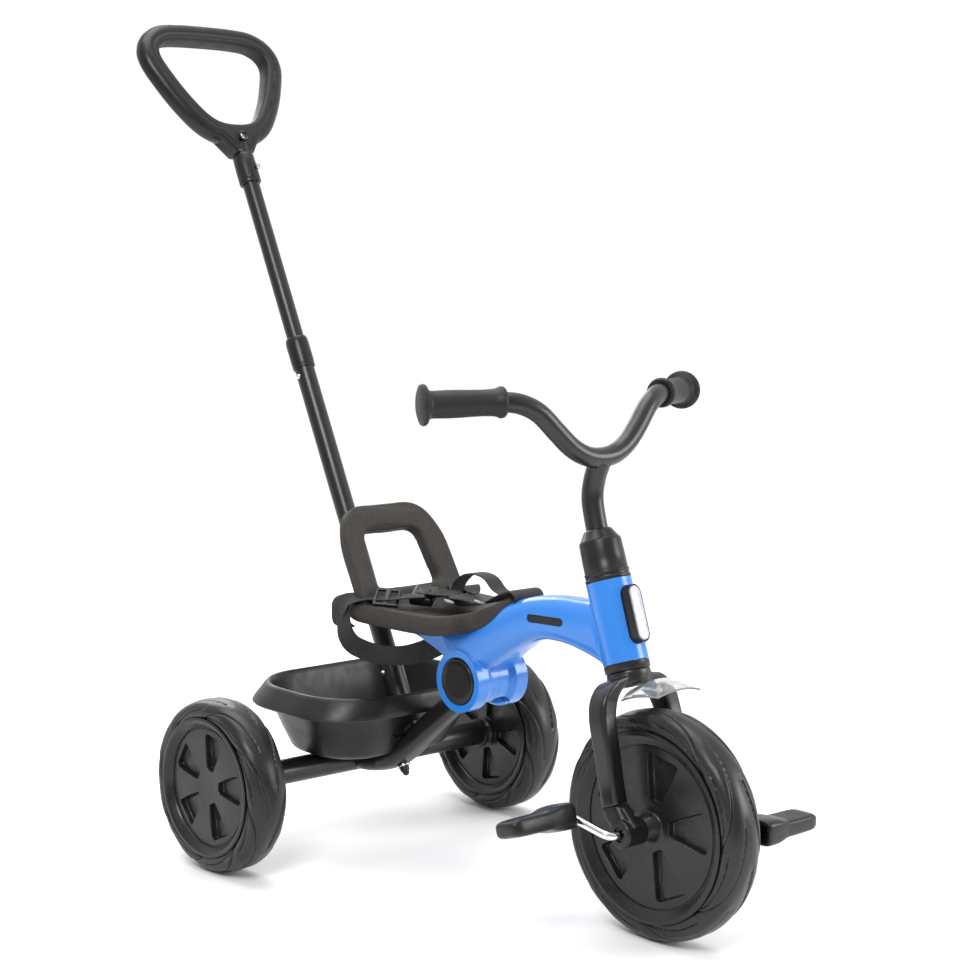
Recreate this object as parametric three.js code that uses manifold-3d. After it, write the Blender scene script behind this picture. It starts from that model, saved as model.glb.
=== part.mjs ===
// A folding children's tricycle with a parent push handle.
// Millimetres, +Z up, the rider faces -Y and +X is the rider's left.
// The working frame has its origin on the ground under the middle of the rear axle.

import * as THREE from 'three';
import { mergeVertices } from 'three/addons/utils/BufferGeometryUtils.js';
import Module from 'manifold-3d';

const wasm = await Module();
wasm.setup();

// ---- driving dimensions -------------------------------------------------------------------

const GAP = 0.3;                    // clearance between pieces that touch
const WHEELBASE = 493.4;
const FRONT_WHEEL_R = 125;
const FRONT_TYRE_W = 50;
const REAR_WHEEL_R = 101.6;
const REAR_TYRE_W = 52;
const REAR_TRACK = 440;             // between the middles of the rear wheels
const RAKE = 19.3;                  // head axis, degrees back from vertical
const HEAD_LOW = 177;               // blue head tube's ends, along the head axis from the front axle
const HEAD_HIGH = 267;
const HEAD_R = 25.4;
const STEERER_R = 12;
const HUB_Y = -208;                 // fold hinge axis
const HUB_Z = 236;
const HUB_R = 36;
const HUB_HALF = 39;
const KNUCKLE_R = 20;
const KNUCKLE_HALF = 15;
const CRANK = 53;                   // crank arm, axle to pedal spindle
const CRANK_ANGLE = 16;             // right arm, degrees above straight back
const CRANK_ROD_R = 4.8;
const BOSS_X = 66;                  // outer face of a fork boss
const HANDLE_LEAN = 26.6;           // push handle, degrees back from vertical
const HANDLE_FOOT = [0, -80.8, 151.3];  // centre of the socket's floor
const LOWER_TUBE_R = 12.3;
const UPPER_TUBE_R = 10.8;
const SOCKET_DEPTH = 92;
const AXLE_TUBE_R = 15;
const AXLE_ROD_R = 5;
const SHELL_WALL = 3;

const FRONT_AXLE = new THREE.Vector3(0, -WHEELBASE, FRONT_WHEEL_R);
const REAR_AXLE = new THREE.Vector3(0, 0, REAR_WHEEL_R);

// ---- materials ----------------------------------------------------------------------------

const material = (color, roughness, metalness = 0, opacity = 1) => new THREE.MeshStandardMaterial({
  color, roughness, metalness, opacity, transparent: opacity < 1,
});

const BLUE = () => material(0x2f7fdc, 0.25);
const BLACK_PLASTIC = () => material(0x1d1c1c, 0.45);
const GRAINED_PLASTIC = () => material(0x2b2926, 0.7);
const BLACK_STEEL = () => material(0x191817, 0.4, 0.3);
const BARE_STEEL = () => material(0x9a9a9a, 0.35, 0.9);
const CHROME = () => material(0xd8d8d8, 0.12, 1);
const FOAM_TYRE = () => material(0x1c1a18, 0.65);
const GRIP_RUBBER = () => material(0x2a2725, 0.8);
const WEBBING = () => material(0x141313, 0.9);
const LENS = () => material(0xc9c6da, 0.2);
const CLEAR = () => material(0xe6ebee, 0.08, 0, 0.35);

// ---- geometry helpers ---------------------------------------------------------------------

const rad = THREE.MathUtils.degToRad;
const vec = (x, y, z) => new THREE.Vector3(x, y, z);

// One closed body: shared vertices merged, slivers of zero area dropped, faces outward.
function closed(geometry) {
  const bare = geometry.index ? geometry.toNonIndexed() : geometry.clone();
  for (const name of Object.keys(bare.attributes)) {
    if (name !== 'position') bare.deleteAttribute(name);
  }
  const merged = mergeVertices(bare, 1e-3);
  const source = merged.index.array;
  const kept = [];
  for (let i = 0; i < source.length; i += 3) {
    const [a, b, c] = [source[i], source[i + 1], source[i + 2]];
    if (a !== b && b !== c && c !== a) kept.push(a, b, c);
  }
  const p = (i) => new THREE.Vector3().fromBufferAttribute(merged.attributes.position, i);
  let volume = 0;
  for (let i = 0; i < kept.length; i += 3) {
    volume += p(kept[i]).dot(p(kept[i + 1]).cross(p(kept[i + 2])));
  }
  if (volume < 0) {
    for (let i = 0; i < kept.length; i += 3) {
      [kept[i], kept[i + 1]] = [kept[i + 1], kept[i]];
    }
  }
  merged.setIndex(kept);
  return merged;
}

function toSolid(geometry) {
  const body = closed(geometry);
  return new wasm.Manifold(new wasm.Mesh({
    numProp: 3,
    vertProperties: new Float32Array(body.attributes.position.array),
    triVerts: new Uint32Array(body.index.array),
  }));
}

function fromSolid(solid) {
  const mesh = solid.getMesh();
  const geometry = new THREE.BufferGeometry();
  geometry.setAttribute('position', new THREE.BufferAttribute(new Float32Array(mesh.vertProperties), 3));
  geometry.setIndex(new THREE.BufferAttribute(new Uint32Array(mesh.triVerts), 1));
  return geometry;
}

const join = (first, ...rest) => fromSolid(rest.reduce((sum, g) => sum.add(toSolid(g)), toSolid(first)));
const cut = (first, ...rest) => fromSolid(
  rest.reduce((sum, g) => sum.subtract(toSolid(g)), toSolid(first)));
const overlap = (a, b) => fromSolid(toSolid(a).intersect(toSolid(b)));

// Turned round X: the profile is a list of [x, radius], on the axis at both ends or closed.
function turnedX(profile, segments = 32) {
  const points = profile.map(([x, r]) => new THREE.Vector2(r, x));
  const onAxis = profile[0][1] === 0 && profile[profile.length - 1][1] === 0;
  if (!onAxis) points.push(points[0].clone());
  return new THREE.LatheGeometry(points, segments).rotateZ(-Math.PI / 2);
}

// Turned round Z: the profile is a list of [z, radius].
const turnedZ = (profile, segments = 32) => turnedX(profile, segments).rotateY(-Math.PI / 2);

// A ring or a plain disc between two places on the X axis.
function ringX(x0, x1, outer, inner = 0, segments = 32) {
  return turnedX([[x0, inner], [x0, outer], [x1, outer], [x1, inner]], segments);
}

const ringZ = (z0, z1, outer, inner = 0, segments = 32) => ringX(z0, z1, outer, inner, segments)
  .rotateY(-Math.PI / 2);

// A straight round bar or pipe from one point to another.
function bar(from, to, radius, bore = 0, segments = 20) {
  const along = to.clone().sub(from);
  const turn = new THREE.Quaternion().setFromUnitVectors(vec(0, 0, 1), along.clone().normalize());
  return ringZ(0, along.length(), radius, bore, segments).applyQuaternion(turn).translate(...from);
}

const smoothPath = (points) => new THREE.CatmullRomCurve3(points, false, 'centripetal');

// A round tube along a path.
function tube(path, radius, { bore = 0, sides = 12, steps = path.steps } = {}) {
  const section = new THREE.Shape().absarc(0, 0, radius, 0, 2 * Math.PI);
  if (bore > 0) section.holes.push(new THREE.Path().absarc(0, 0, bore, 0, 2 * Math.PI, true));
  return new THREE.ExtrudeGeometry(section, { extrudePath: path, steps, curveSegments: sides / 2 });
}

// A path of straight runs with rounded bends: each point is [x, y, z, bend length].
// It is stepped from station to station, so a straight run takes one step.
class BentPath extends THREE.Curve {
  constructor(points, perBend = 4) {
    super();
    const at = points.map(([x, y, z]) => vec(x, y, z));
    this.stations = [at[0]];
    for (let i = 1; i < at.length - 1; i++) {
      const into = at[i - 1].clone().sub(at[i]).setLength(points[i][3]).add(at[i]);
      const out = at[i + 1].clone().sub(at[i]).setLength(points[i][3]).add(at[i]);
      this.stations.push(...new THREE.QuadraticBezierCurve3(into, at[i], out).getPoints(perBend));
    }
    this.stations.push(at[at.length - 1]);
    this.steps = this.stations.length - 1;
  }

  getPoint(t, target = vec(0, 0, 0)) {
    const place = Math.min(Math.max(t, 0), 1) * this.steps;
    const i = Math.min(Math.floor(place), this.steps - 1);
    return target.lerpVectors(this.stations[i], this.stations[i + 1], place - i);
  }

  getPointAt(u, target) {
    return this.getPoint(u, target);
  }

  getTangentAt(u, target) {
    return this.getTangent(u, target);
  }
}

const block = (x0, x1, y0, y1, z0, z1) => new THREE.BoxGeometry(x1 - x0, y1 - y0, z1 - z0)
  .translate((x0 + x1) / 2, (y0 + y1) / 2, (z0 + z1) / 2);

// Rings of the same count of points, skinned one to the next, with both ends closed.
function loft(rings) {
  const count = rings[0].length;
  const points = rings.flat();
  const middle = (ring) => ring.reduce((sum, p) => sum.add(p), vec(0, 0, 0)).divideScalar(ring.length);
  points.push(middle(rings[0]), middle(rings[rings.length - 1]));
  const [start, end] = [points.length - 2, points.length - 1];
  const last = (rings.length - 1) * count;
  const index = [];
  for (let j = 0; j < count; j++) {
    const k = (j + 1) % count;
    for (let i = 0; i < rings.length - 1; i++) {
      const [a, b, c, d] = [i * count + j, i * count + k, (i + 1) * count + j, (i + 1) * count + k];
      index.push(a, b, d, a, d, c);
    }
    index.push(start, k, j);
    index.push(end, last + j, last + k);
  }
  const geometry = new THREE.BufferGeometry().setFromPoints(points);
  geometry.setIndex(index);
  return geometry;
}

// A thin curved plate between two grids of points, rows of the same count on its two faces.
function plate(lower, upper) {
  const columns = lower[0].length;
  const rows = lower.length;
  const points = [...lower.flat(), ...upper.flat()];
  const at = (face, i, j) => (face * rows + i) * columns + j;
  const index = [];
  const quad = (a, b, c, d) => index.push(a, b, c, a, c, d);
  for (let i = 0; i < rows - 1; i++) {
    for (let j = 0; j < columns - 1; j++) {
      quad(at(0, i, j), at(0, i, j + 1), at(0, i + 1, j + 1), at(0, i + 1, j));
      quad(at(1, i, j), at(1, i + 1, j), at(1, i + 1, j + 1), at(1, i, j + 1));
    }
    quad(at(0, i, 0), at(0, i + 1, 0), at(1, i + 1, 0), at(1, i, 0));
    quad(at(0, i, columns - 1), at(1, i, columns - 1), at(1, i + 1, columns - 1),
      at(0, i + 1, columns - 1));
  }
  for (let j = 0; j < columns - 1; j++) {
    quad(at(0, 0, j), at(1, 0, j), at(1, 0, j + 1), at(0, 0, j + 1));
    quad(at(0, rows - 1, j), at(0, rows - 1, j + 1), at(1, rows - 1, j + 1), at(1, rows - 1, j));
  }
  const geometry = new THREE.BufferGeometry().setFromPoints(points);
  geometry.setIndex(index);
  return geometry;
}

// An oval ring in the plane of X and a given up direction. Power 2 is an ellipse, more is squarer.
function ovalRing(centre, halfWidth, up, power = 2.6, count = 20) {
  const ring = [];
  for (let i = 0; i < count; i++) {
    const t = (2 * Math.PI * i) / count;
    const bend = (v) => Math.sign(v) * Math.abs(v) ** (2 / power);
    ring.push(centre.clone().add(vec(halfWidth * bend(Math.cos(t)), 0, 0))
      .add(up.clone().multiplyScalar(bend(Math.sin(t)))));
  }
  return ring;
}

// A rounded rectangle lying flat at a height, as a ring of points.
function roundedRing(halfX, y0, y1, corner, z, perCorner = 4) {
  const ring = [];
  const corners = [[halfX, y0, -90], [halfX, y1, 0], [-halfX, y1, 90], [-halfX, y0, 180]];
  for (const [x, y, start] of corners) {
    const cx = x - Math.sign(x) * corner;
    const cy = y - Math.sign(y - (y0 + y1) / 2) * corner;
    for (let i = 0; i < perCorner; i++) {
      const t = rad(start + (90 * i) / (perCorner - 1));
      ring.push(vec(cx + corner * Math.cos(t), cy + corner * Math.sin(t), z));
    }
  }
  return ring;
}

// A closed outline with rounded corners: each point is [x, y, corner radius].
function roundedOutline(points, Kind = THREE.Shape) {
  const outline = new Kind();
  const n = points.length;
  for (let i = 0; i < n; i++) {
    const [px, py] = points[(i + n - 1) % n];
    const [x, y, r] = points[i];
    const [qx, qy] = points[(i + 1) % n];
    const here = new THREE.Vector2(x, y);
    const back = new THREE.Vector2(px, py).sub(here).normalize().multiplyScalar(r).add(here);
    const on = new THREE.Vector2(qx, qy).sub(here).normalize().multiplyScalar(r).add(here);
    if (i === 0) outline.moveTo(back.x, back.y);
    else outline.lineTo(back.x, back.y);
    outline.quadraticCurveTo(x, y, on.x, on.y);
  }
  outline.closePath();
  return outline;
}

const slab = (outline, depth, curveSegments = 5) => new THREE.ExtrudeGeometry(outline, {
  depth, bevelEnabled: false, curveSegments,
});

// An outline drawn in (y, z), given a thickness from x0 to x1.
const slabX = (outline, x0, x1, curveSegments = 5) => slab(outline, x1 - x0, curveSegments)
  .rotateX(Math.PI / 2).rotateZ(Math.PI / 2).translate(x0, 0, 0);

function polygon(points) {
  return new THREE.Shape(points.map(([x, y]) => new THREE.Vector2(x, y)));
}

// ---- the object ---------------------------------------------------------------------------

const tricycle = new THREE.Group();
const steeringGroup = new THREE.Group();
steeringGroup.position.copy(FRONT_AXLE);
steeringGroup.rotation.x = -rad(RAKE);
const handleGroup = new THREE.Group();
handleGroup.position.set(...HANDLE_FOOT);
handleGroup.rotation.x = -rad(HANDLE_LEAN);
tricycle.add(steeringGroup, handleGroup);

function part(group, name, geometry, finish) {
  const body = closed(geometry);
  body.computeVertexNormals();
  const mesh = new THREE.Mesh(body, finish);
  mesh.name = name;
  group.add(mesh);
  return mesh;
}

const SIDES = [['right', -1], ['left', 1]];

// A solid modelled along the head axis, moved into the working frame.
const onHeadAxis = (geometry) => geometry.rotateX(-rad(RAKE)).translate(...FRONT_AXLE);

// ---- wheels -------------------------------------------------------------------------------

function tyre(radius, width, bead, segments) {
  const half = width / 2;
  const crown = radius - bead;
  const side = [[0.80, 0], [0.98, 0.24], [0.98, 0.58], [0.76, 0.88]];
  const left = side.map(([w, h]) => [-half * w, bead + crown * h]);
  const right = side.map(([w, h]) => [half * w, bead + crown * h]).reverse();
  const tread = radius / Math.cos(Math.PI / segments);
  return turnedX([...left, [-0.3 * half, tread], [0.3 * half, tread], ...right], segments);
}

// Half of a wheel disc: a thin dish with a rim flange outside the bead and a hub sleeve inside.
// The sleeve reaches out to bossEnd, or the dish closes over it where bossEnd is 0.
function discHalf(side, bead, width, bore, bossEnd) {
  const half = width / 2;
  const flange = bead + 5;
  const seat = bead - 0.8;
  const face = half - 9;
  const back = half - 12;
  const hub = bossEnd > 0
    ? [[GAP / 2, bore], [bossEnd, bore], [bossEnd, bore + 6], [face, bore + 7]]
    : [[GAP / 2, bore], [back, bore], [back, 0], [face, 0]];
  const profile = [...hub, [face, bead - 10], [half + 0.5, bead - 4], [half - 0.5, flange],
    [half * 0.8 + 2.4, flange - 3], [half * 0.8 + 0.9, seat], [GAP / 2, seat], [GAP / 2, seat - SHELL_WALL],
    [back, seat - SHELL_WALL - 4], [back, bore + 4], [GAP / 2, bore + 4]];
  const points = profile.map(([x, r]) => [side * x, r]);
  return bossEnd > 0 ? turnedX(points, 22) : closedDisc(points, 22);
}

// A profile that touches the axis only along one straight stretch: turned as a loop cut open there.
function closedDisc(points, segments) {
  const cutAt = points.findIndex(([, r]) => r === 0);
  const loop = [...points.slice(cutAt + 1), ...points.slice(0, cutAt + 1)];
  return turnedX(loop, segments);
}

const FRONT_BEAD = 99;
const REAR_BEAD = 77;

part(tricycle, 'front_tyre',
  tyre(FRONT_WHEEL_R, FRONT_TYRE_W, FRONT_BEAD, 37).translate(...FRONT_AXLE), FOAM_TYRE());
for (const [side, sign] of SIDES) {
  const half = discHalf(sign, FRONT_BEAD, FRONT_TYRE_W, CRANK_ROD_R + GAP, 34).translate(...FRONT_AXLE);
  part(tricycle, `front_disc_${side}`, half, BLACK_PLASTIC());
}

for (const [side, sign] of SIDES) {
  const middle = vec(sign * REAR_TRACK / 2, 0, REAR_WHEEL_R);
  part(tricycle, `rear_tyre_${side}`,
    tyre(REAR_WHEEL_R, REAR_TYRE_W, REAR_BEAD, 31).translate(...middle), FOAM_TYRE());
  part(tricycle, `rear_disc_outer_${side}`,
    discHalf(sign, REAR_BEAD, REAR_TYRE_W, AXLE_ROD_R + GAP, 0).translate(...middle), BLACK_PLASTIC());
  part(tricycle, `rear_disc_inner_${side}`,
    discHalf(-sign, REAR_BEAD, REAR_TYRE_W, AXLE_ROD_R + GAP, REAR_TYRE_W / 2).translate(...middle),
      BLACK_PLASTIC());
}

// ---- cranks and pedals --------------------------------------------------------------------

const PEDAL_IN = 96;                // inner end of a pedal
const PEDAL_OUT = 184;

function crankRod() {
  const reach = [Math.cos(rad(CRANK_ANGLE)) * CRANK, Math.sin(rad(CRANK_ANGLE)) * CRANK];
  const at = (x, along, bend = 0) => [x, FRONT_AXLE.y + reach[0] * along,
    FRONT_AXLE.z + reach[1] * along, bend];
  const route = [at(-PEDAL_OUT + 6, 1), at(-PEDAL_IN + 6, 1, 9), at(-BOSS_X - 14, 0, 9),
    at(BOSS_X + 14, 0, 9), at(PEDAL_IN - 6, -1, 9), at(PEDAL_OUT - 6, -1)];
  return tube(new BentPath(route), CRANK_ROD_R - 0.1, { sides: 10 });
}

// A pedal: a tall block at its inner end, stepping down to a flat tread.
function pedal(sign) {
  const half = [[PEDAL_IN, 19, 13], [PEDAL_IN + 10, 20.5, 14.5], [PEDAL_IN + 24, 20, 13.5],
    [PEDAL_IN + 36, 19, 10.5],
    [PEDAL_OUT - 12, 18, 9.8], [PEDAL_OUT, 12, 7]];
  const rings = half.map(([x, y, z]) => roundedRing(z, -y, y, 5, 0, 3).map((p) => vec(sign * x, p.y, p.x)));
  const spindleHole = ringX(sign * (PEDAL_IN - 2), sign * (PEDAL_OUT - 4), CRANK_ROD_R + 0.4, 0, 16);
  return cut(loft(rings), spindleHole);
}

part(tricycle, 'crank_rod', crankRod(), CHROME());
for (const [side, sign] of SIDES) {
  const place = vec(0, FRONT_AXLE.y - sign * Math.cos(rad(CRANK_ANGLE)) * CRANK,
    FRONT_AXLE.z - sign * Math.sin(rad(CRANK_ANGLE)) * CRANK);
  const turn = side === 'right' ? rad(-18) : 0;
  part(tricycle, `pedal_${side}`, pedal(sign).rotateX(turn).translate(...place), BLACK_PLASTIC());
}

// ---- fork and steering, along the head axis from the front axle ---------------------------

const LEG_X = 50;
const LEG_FOOT = 30;                // where a leg ends in its dropout
const CROWN = 150;

// One fork leg from the crown, bowing out past the tyre and down to the dropout.
function forkLeg(sign) {
  const stations = [
    [CROWN + 14, 14, 0, 12, 16], [CROWN + 6, 31, 0, 12, 15.5], [CROWN - 8, 44, 1, 11, 15],
    [CROWN - 28, 51, 3, 10, 14.5], [95, 52, 5, 9.5, 14], [60, 51, 9, 9.5, 13.5],
    [LEG_FOOT, LEG_X, 13, 9.5, 12.5],
  ];
  const rings = stations.map(([z, x, y, halfX, halfY]) => ovalRing(vec(sign * x, y, z), halfX,
    vec(0, halfY, 0), 3.4, 14));
  return loft(rings);
}

function forkCrown() {
  const neck = turnedZ([[CROWN + 2, 0], [CROWN + 2, 22], [HEAD_LOW - 8, 24.5], [HEAD_LOW - 3, 24.5],
    [HEAD_LOW - 3, 0]], 32);
  const fork = join(neck, forkLeg(-1), forkLeg(1));
  const steererHole = ringZ(CROWN - 30, HEAD_LOW + 5, STEERER_R + GAP, 0, 24);
  return cut(fork, steererHole);
}

part(steeringGroup, 'fork', forkCrown(), BLACK_STEEL());

for (const [side, sign] of SIDES) {
  const boss = ringX(sign * 35, sign * BOSS_X, 15, 0, 22);
  const webStations = [[2, 2, 12, 14], [16, 9, 11, 13], [LEG_FOOT - GAP, 13, 9.5, 12]];
  const web = loft(webStations.map(([z, y, x, halfY]) => ovalRing(
    vec(sign * LEG_X, y, z), x, vec(0, halfY, 0), 3.4, 14)));
  const dropout = cut(join(boss, web), ringX(sign * 34, sign * (BOSS_X + 1), CRANK_ROD_R + GAP, 0, 20));
  part(steeringGroup, `dropout_${side}`, dropout, BLACK_PLASTIC());
}

part(steeringGroup, 'steerer_tube', ringZ(CROWN, HEAD_HIGH + 40, STEERER_R, STEERER_R - 2, 24),
  BARE_STEEL());

const collarProfile = [[HEAD_HIGH + GAP, 16], [HEAD_HIGH + GAP, 25.4], [HEAD_HIGH + 3, 25.4],
  [HEAD_HIGH + 4, 24.4], [HEAD_HIGH + 8, 24.4], [HEAD_HIGH + 9, 23.6], [HEAD_HIGH + 44, 23],
  [HEAD_HIGH + 53, 19],
  [HEAD_HIGH + 57, 15], [HEAD_HIGH + 57, 12.3], [HEAD_HIGH + 43.6, 12.3], [HEAD_HIGH + 41, 16]];
part(steeringGroup, 'bar_collar', turnedZ(collarProfile, 24), BLACK_PLASTIC());

// Handlebar: one bent tube, with the stem joined under the middle of its dip.
const toHeadAxis = (p) => p.sub(FRONT_AXLE).applyAxisAngle(vec(1, 0, 0), rad(RAKE));
const BAR_R = 11;
const STEM_R = 12;
const DIP = toHeadAxis(vec(0, -388, 510));
const barHalf = [[22, -387.6, 513], [43, -385.6, 523.5], [63, -382.4, 541], [84, -377, 561],
  [104, -370, 571],
  [124, -361, 573.5], [162, -342.2, 572.3], [201, -323, 571]];
const barRoute = [...barHalf.map(([x, y, z]) => toHeadAxis(vec(-x, y, z))).reverse(), DIP,
  ...barHalf.map(([x, y, z]) => toHeadAxis(vec(x, y, z)))];

const stemRoute = [vec(0, 0, HEAD_HIGH + 42), vec(0, 0, HEAD_HIGH + 66), vec(0, -3, HEAD_HIGH + 92),
  vec(0, -13, HEAD_HIGH + 112), vec(0, DIP.y, DIP.z - 2)];
const barTube = tube(smoothPath(barRoute), BAR_R, { sides: 10, steps: 28 });
const stemTube = tube(smoothPath(stemRoute), STEM_R, { sides: 12, steps: 7 });
part(steeringGroup, 'handlebar', join(barTube, stemTube), BLACK_STEEL());

// A grip slides over each end of the bar: a flare, a barrel and a domed end flange.
for (const [side, sign] of SIDES) {
  const inner = toHeadAxis(vec(sign * 121, -362.5, 573.6));
  const outer = toHeadAxis(vec(sign * 201, -323, 571));
  const length = inner.distanceTo(outer);
  const bore = BAR_R + 0.6;
  const grip = turnedZ([[0, bore], [0, 15.5], [5, 17], [10, 14.6], [length - 14, 14.6], [length - 8, 15],
    [length - 5, 21], [length + 5, 21.5], [length + 9, 17], [length + 10, 0], [length + 1, 0],
    [length + 1, bore]], 20);
  const turn = new THREE.Quaternion().setFromUnitVectors(vec(0, 0, 1),
    outer.clone().sub(inner).normalize());
  part(steeringGroup, `grip_${side}`, grip.applyQuaternion(turn).translate(...inner), GRIP_RUBBER());
}

// Clear guard over the tyre, hung under the crown: a domed visor reaching forward of the fork.
const GUARD_RIDGE = [[4, 147], [9, 149.5], [14, 154.5], [19, 157], [23, 156], [27, 151]];

function tyreGuard() {
  const face = (lift) => GUARD_RIDGE.map(([turn, ridge], i) => {
    const angle = rad(turn);
    const halfWidth = i === 0 ? 30 : 33.5;
    const edge = 136 + 0.45 * (turn - 4);
    return [-1, -0.7, -0.35, 0, 0.35, 0.7, 1].map((x) => {
      const r = ridge - (ridge - edge) * Math.abs(x) ** 2.2 + lift;
      return vec(x * halfWidth, -r * Math.sin(angle), r * Math.cos(angle));
    });
  });
  return plate(face(0), face(2.2));
}

part(steeringGroup, 'tyre_guard', tyreGuard(), CLEAR());

// ---- main frame ---------------------------------------------------------------------------

const HUB = vec(0, HUB_Y, HUB_Z);

// Beam stations from the head tube back to the wing under the seat: top and bottom in (y, z).
const BEAM = [
  { top: [-398, 353], bottom: [-420, 284], half: 21 },
  { top: [-370, 352], bottom: [-388, 297], half: 21 },
  { top: [-338, 351], bottom: [-350, 301], half: 24 },
  { top: [-302, 346], bottom: [-310, 297], half: 27 },
  { top: [-268, 335], bottom: [-270, 275], half: 31 },
  { top: [-236, 316], bottom: [-236, 250], half: 36 },
  { top: [-206, 300], bottom: [-204, 240], half: 38 },
  { top: [-170, 291], bottom: [-172, 262], half: 42 },
  { top: [-128, 286], bottom: [-130, 279], half: 40 },
];

function beam(inset) {
  return loft(BEAM.map(({ top, bottom, half }, i) => {
    const high = vec(0, ...top);
    const low = vec(0, ...bottom);
    const up = high.clone().sub(low).multiplyScalar(0.5);
    const shrunk = up.clone().setLength(Math.max(up.length() - inset, 0.8));
    const shift = i === 0 && inset > 0 ? inset : 0;
    const centre = high.add(low).multiplyScalar(0.5).add(vec(0, shift, 0));
    return ovalRing(centre, half - inset, shrunk, 3, 16);
  }));
}

const spool = turnedX([[-HUB_HALF, 0], [-HUB_HALF, HUB_R - 2], [-HUB_HALF + 3, HUB_R], [-22, HUB_R],
  [-15, 31], [15, 31], [22, HUB_R], [HUB_HALF - 3, HUB_R], [HUB_HALF, HUB_R - 2],
  [HUB_HALF, 0]], 32).translate(...HUB);
const headSleeve = onHeadAxis(ringZ(HEAD_LOW, HEAD_HIGH, HEAD_R, 0, 28));
const headBore = onHeadAxis(ringZ(HEAD_LOW - 5, HEAD_HIGH + 5, 17.4, 0, 20));
const BUTTON_R = 27;
const BUTTON_TRAVEL = 5;
const BUTTON_POCKET = 24;           // how close to the middle a button's pocket reaches
const knuckleRoom = ringX(-KNUCKLE_HALF - 1, KNUCKLE_HALF + 1, KNUCKLE_R + 2, 0, 24).translate(...HUB);
const pinHole = ringX(-30, 30, 6.3, 0, 20).translate(...HUB);
const buttonPockets = SIDES.map(([, sign]) => ringX(sign * BUTTON_POCKET, sign * (HUB_HALF + 5),
  BUTTON_R + 0.5, 0, 28)
  .translate(...HUB));

// The slot behind and under the hub that the rear stay swings through.
const SLOT_HALF = 17;
const slotEdge = (angle, r) => [HUB_Y + r * Math.cos(rad(angle)), HUB_Z + r * Math.sin(rad(angle))];
const staySlot = slabX(polygon([slotEdge(0, 0), slotEdge(6, 34), slotEdge(-10, 60), slotEdge(-45, 80),
  slotEdge(-90, 80),
  slotEdge(-124, 60)]), -SLOT_HALF, SLOT_HALF);

const spineRoute = [vec(0, -390, 326), vec(0, -350, 327), vec(0, -300, 320), vec(0, -266, 302),
  vec(0, -244, 281)];
const SPINE_R = 11;
const spineRoom = tube(smoothPath([vec(0, -410, 326), ...spineRoute.slice(1, 4), vec(0, -232, 268)]),
  SPINE_R + 0.6,
  { sides: 10, steps: 6 });

const REFLECTOR = { low: HEAD_LOW + 16, high: HEAD_HIGH - 10, half: 10 };
const stadium = (half, low, high, y0, y1) => {
  const outline = roundedOutline([[-half, low, half], [half, low, half], [half, high, half],
    [-half, high, half]]);
  return slab(outline, y1 - y0).rotateX(Math.PI / 2).translate(0, y1, 0);
};
const reflectorRoom = onHeadAxis(stadium(REFLECTOR.half + 0.5, REFLECTOR.low - 0.5,
  REFLECTOR.high + 0.5, -45, -21));

// The long inlays on the sides of the beam.
const INLAY_HALF = 26;
const inlaySlot = (half, margin, x0, x1) => {
  const [y, z] = [INLAY_HALF + margin, half + margin];
  const outline = roundedOutline([[-y, -z, z], [y, -z, z], [y, z, z], [-y, z, z]]);
  return slabX(outline, x0, x1, 4).rotateX(rad(-2)).translate(0, -333, 325);
};

const hollow = beam(SHELL_WALL);
const outerFrame = cut(join(beam(0), spool, headSleeve), hollow, headBore, knuckleRoom, pinHole, staySlot,
  ...buttonPockets, spineRoom, reflectorRoom, inlaySlot(4, 0.4, -60, -15), inlaySlot(4, 0.4, 15, 60));

const FAR = 400;
for (const [side, sign] of SIDES) {
  const halfSpace = block(Math.min(sign * 0.15, sign * FAR), Math.max(sign * 0.15, sign * FAR), -700,
    100, 100, 500);
  part(tricycle, `frame_shell_${side}`, overlap(outerFrame, halfSpace), BLUE());
}

part(tricycle, 'head_tube', onHeadAxis(ringZ(HEAD_LOW + 6, HEAD_HIGH - 6, 17, 14.5, 20)), BARE_STEEL());
for (const [place, z0, z1] of [['lower', HEAD_LOW - 2.7, HEAD_LOW + 5.7],
  ['upper', HEAD_HIGH - 5.7, HEAD_HIGH]]) {
  part(tricycle, `headset_bearing_${place}`, onHeadAxis(ringZ(z0, z1, 16.9, STEERER_R + GAP, 20)),
    BARE_STEEL());
}
const spineTube = cut(tube(smoothPath(spineRoute), SPINE_R, { bore: SPINE_R - 1.8, sides: 10, steps: 6 }),
  onHeadAxis(ringZ(HEAD_LOW, HEAD_HIGH, 17.7, 0, 20)));
part(tricycle, 'spine_tube', spineTube, BARE_STEEL());

const inlay = (sign) => overlap(inlaySlot(4, 0, sign > 0 ? 15 : -60, sign > 0 ? 60 : -15),
  cut(beam(0.6), beam(SHELL_WALL - 0.4)));
for (const [side, sign] of SIDES) {
  part(tricycle, `beam_inlay_${side}`, inlay(sign), BLACK_PLASTIC());
}

const bezel = cut(stadium(REFLECTOR.half, REFLECTOR.low, REFLECTOR.high, -35, -21.4),
  stadium(REFLECTOR.half - 1.8, REFLECTOR.low + 1.8, REFLECTOR.high - 1.8, -37, -30));
part(tricycle, 'reflector_bezel', onHeadAxis(bezel), BLACK_PLASTIC());
part(tricycle, 'reflector_lens', onHeadAxis(stadium(REFLECTOR.half - 2.1, REFLECTOR.low + 2.1,
  REFLECTOR.high - 2.1, -36, -30.3)), LENS());

// ---- fold hinge ---------------------------------------------------------------------------

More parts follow.
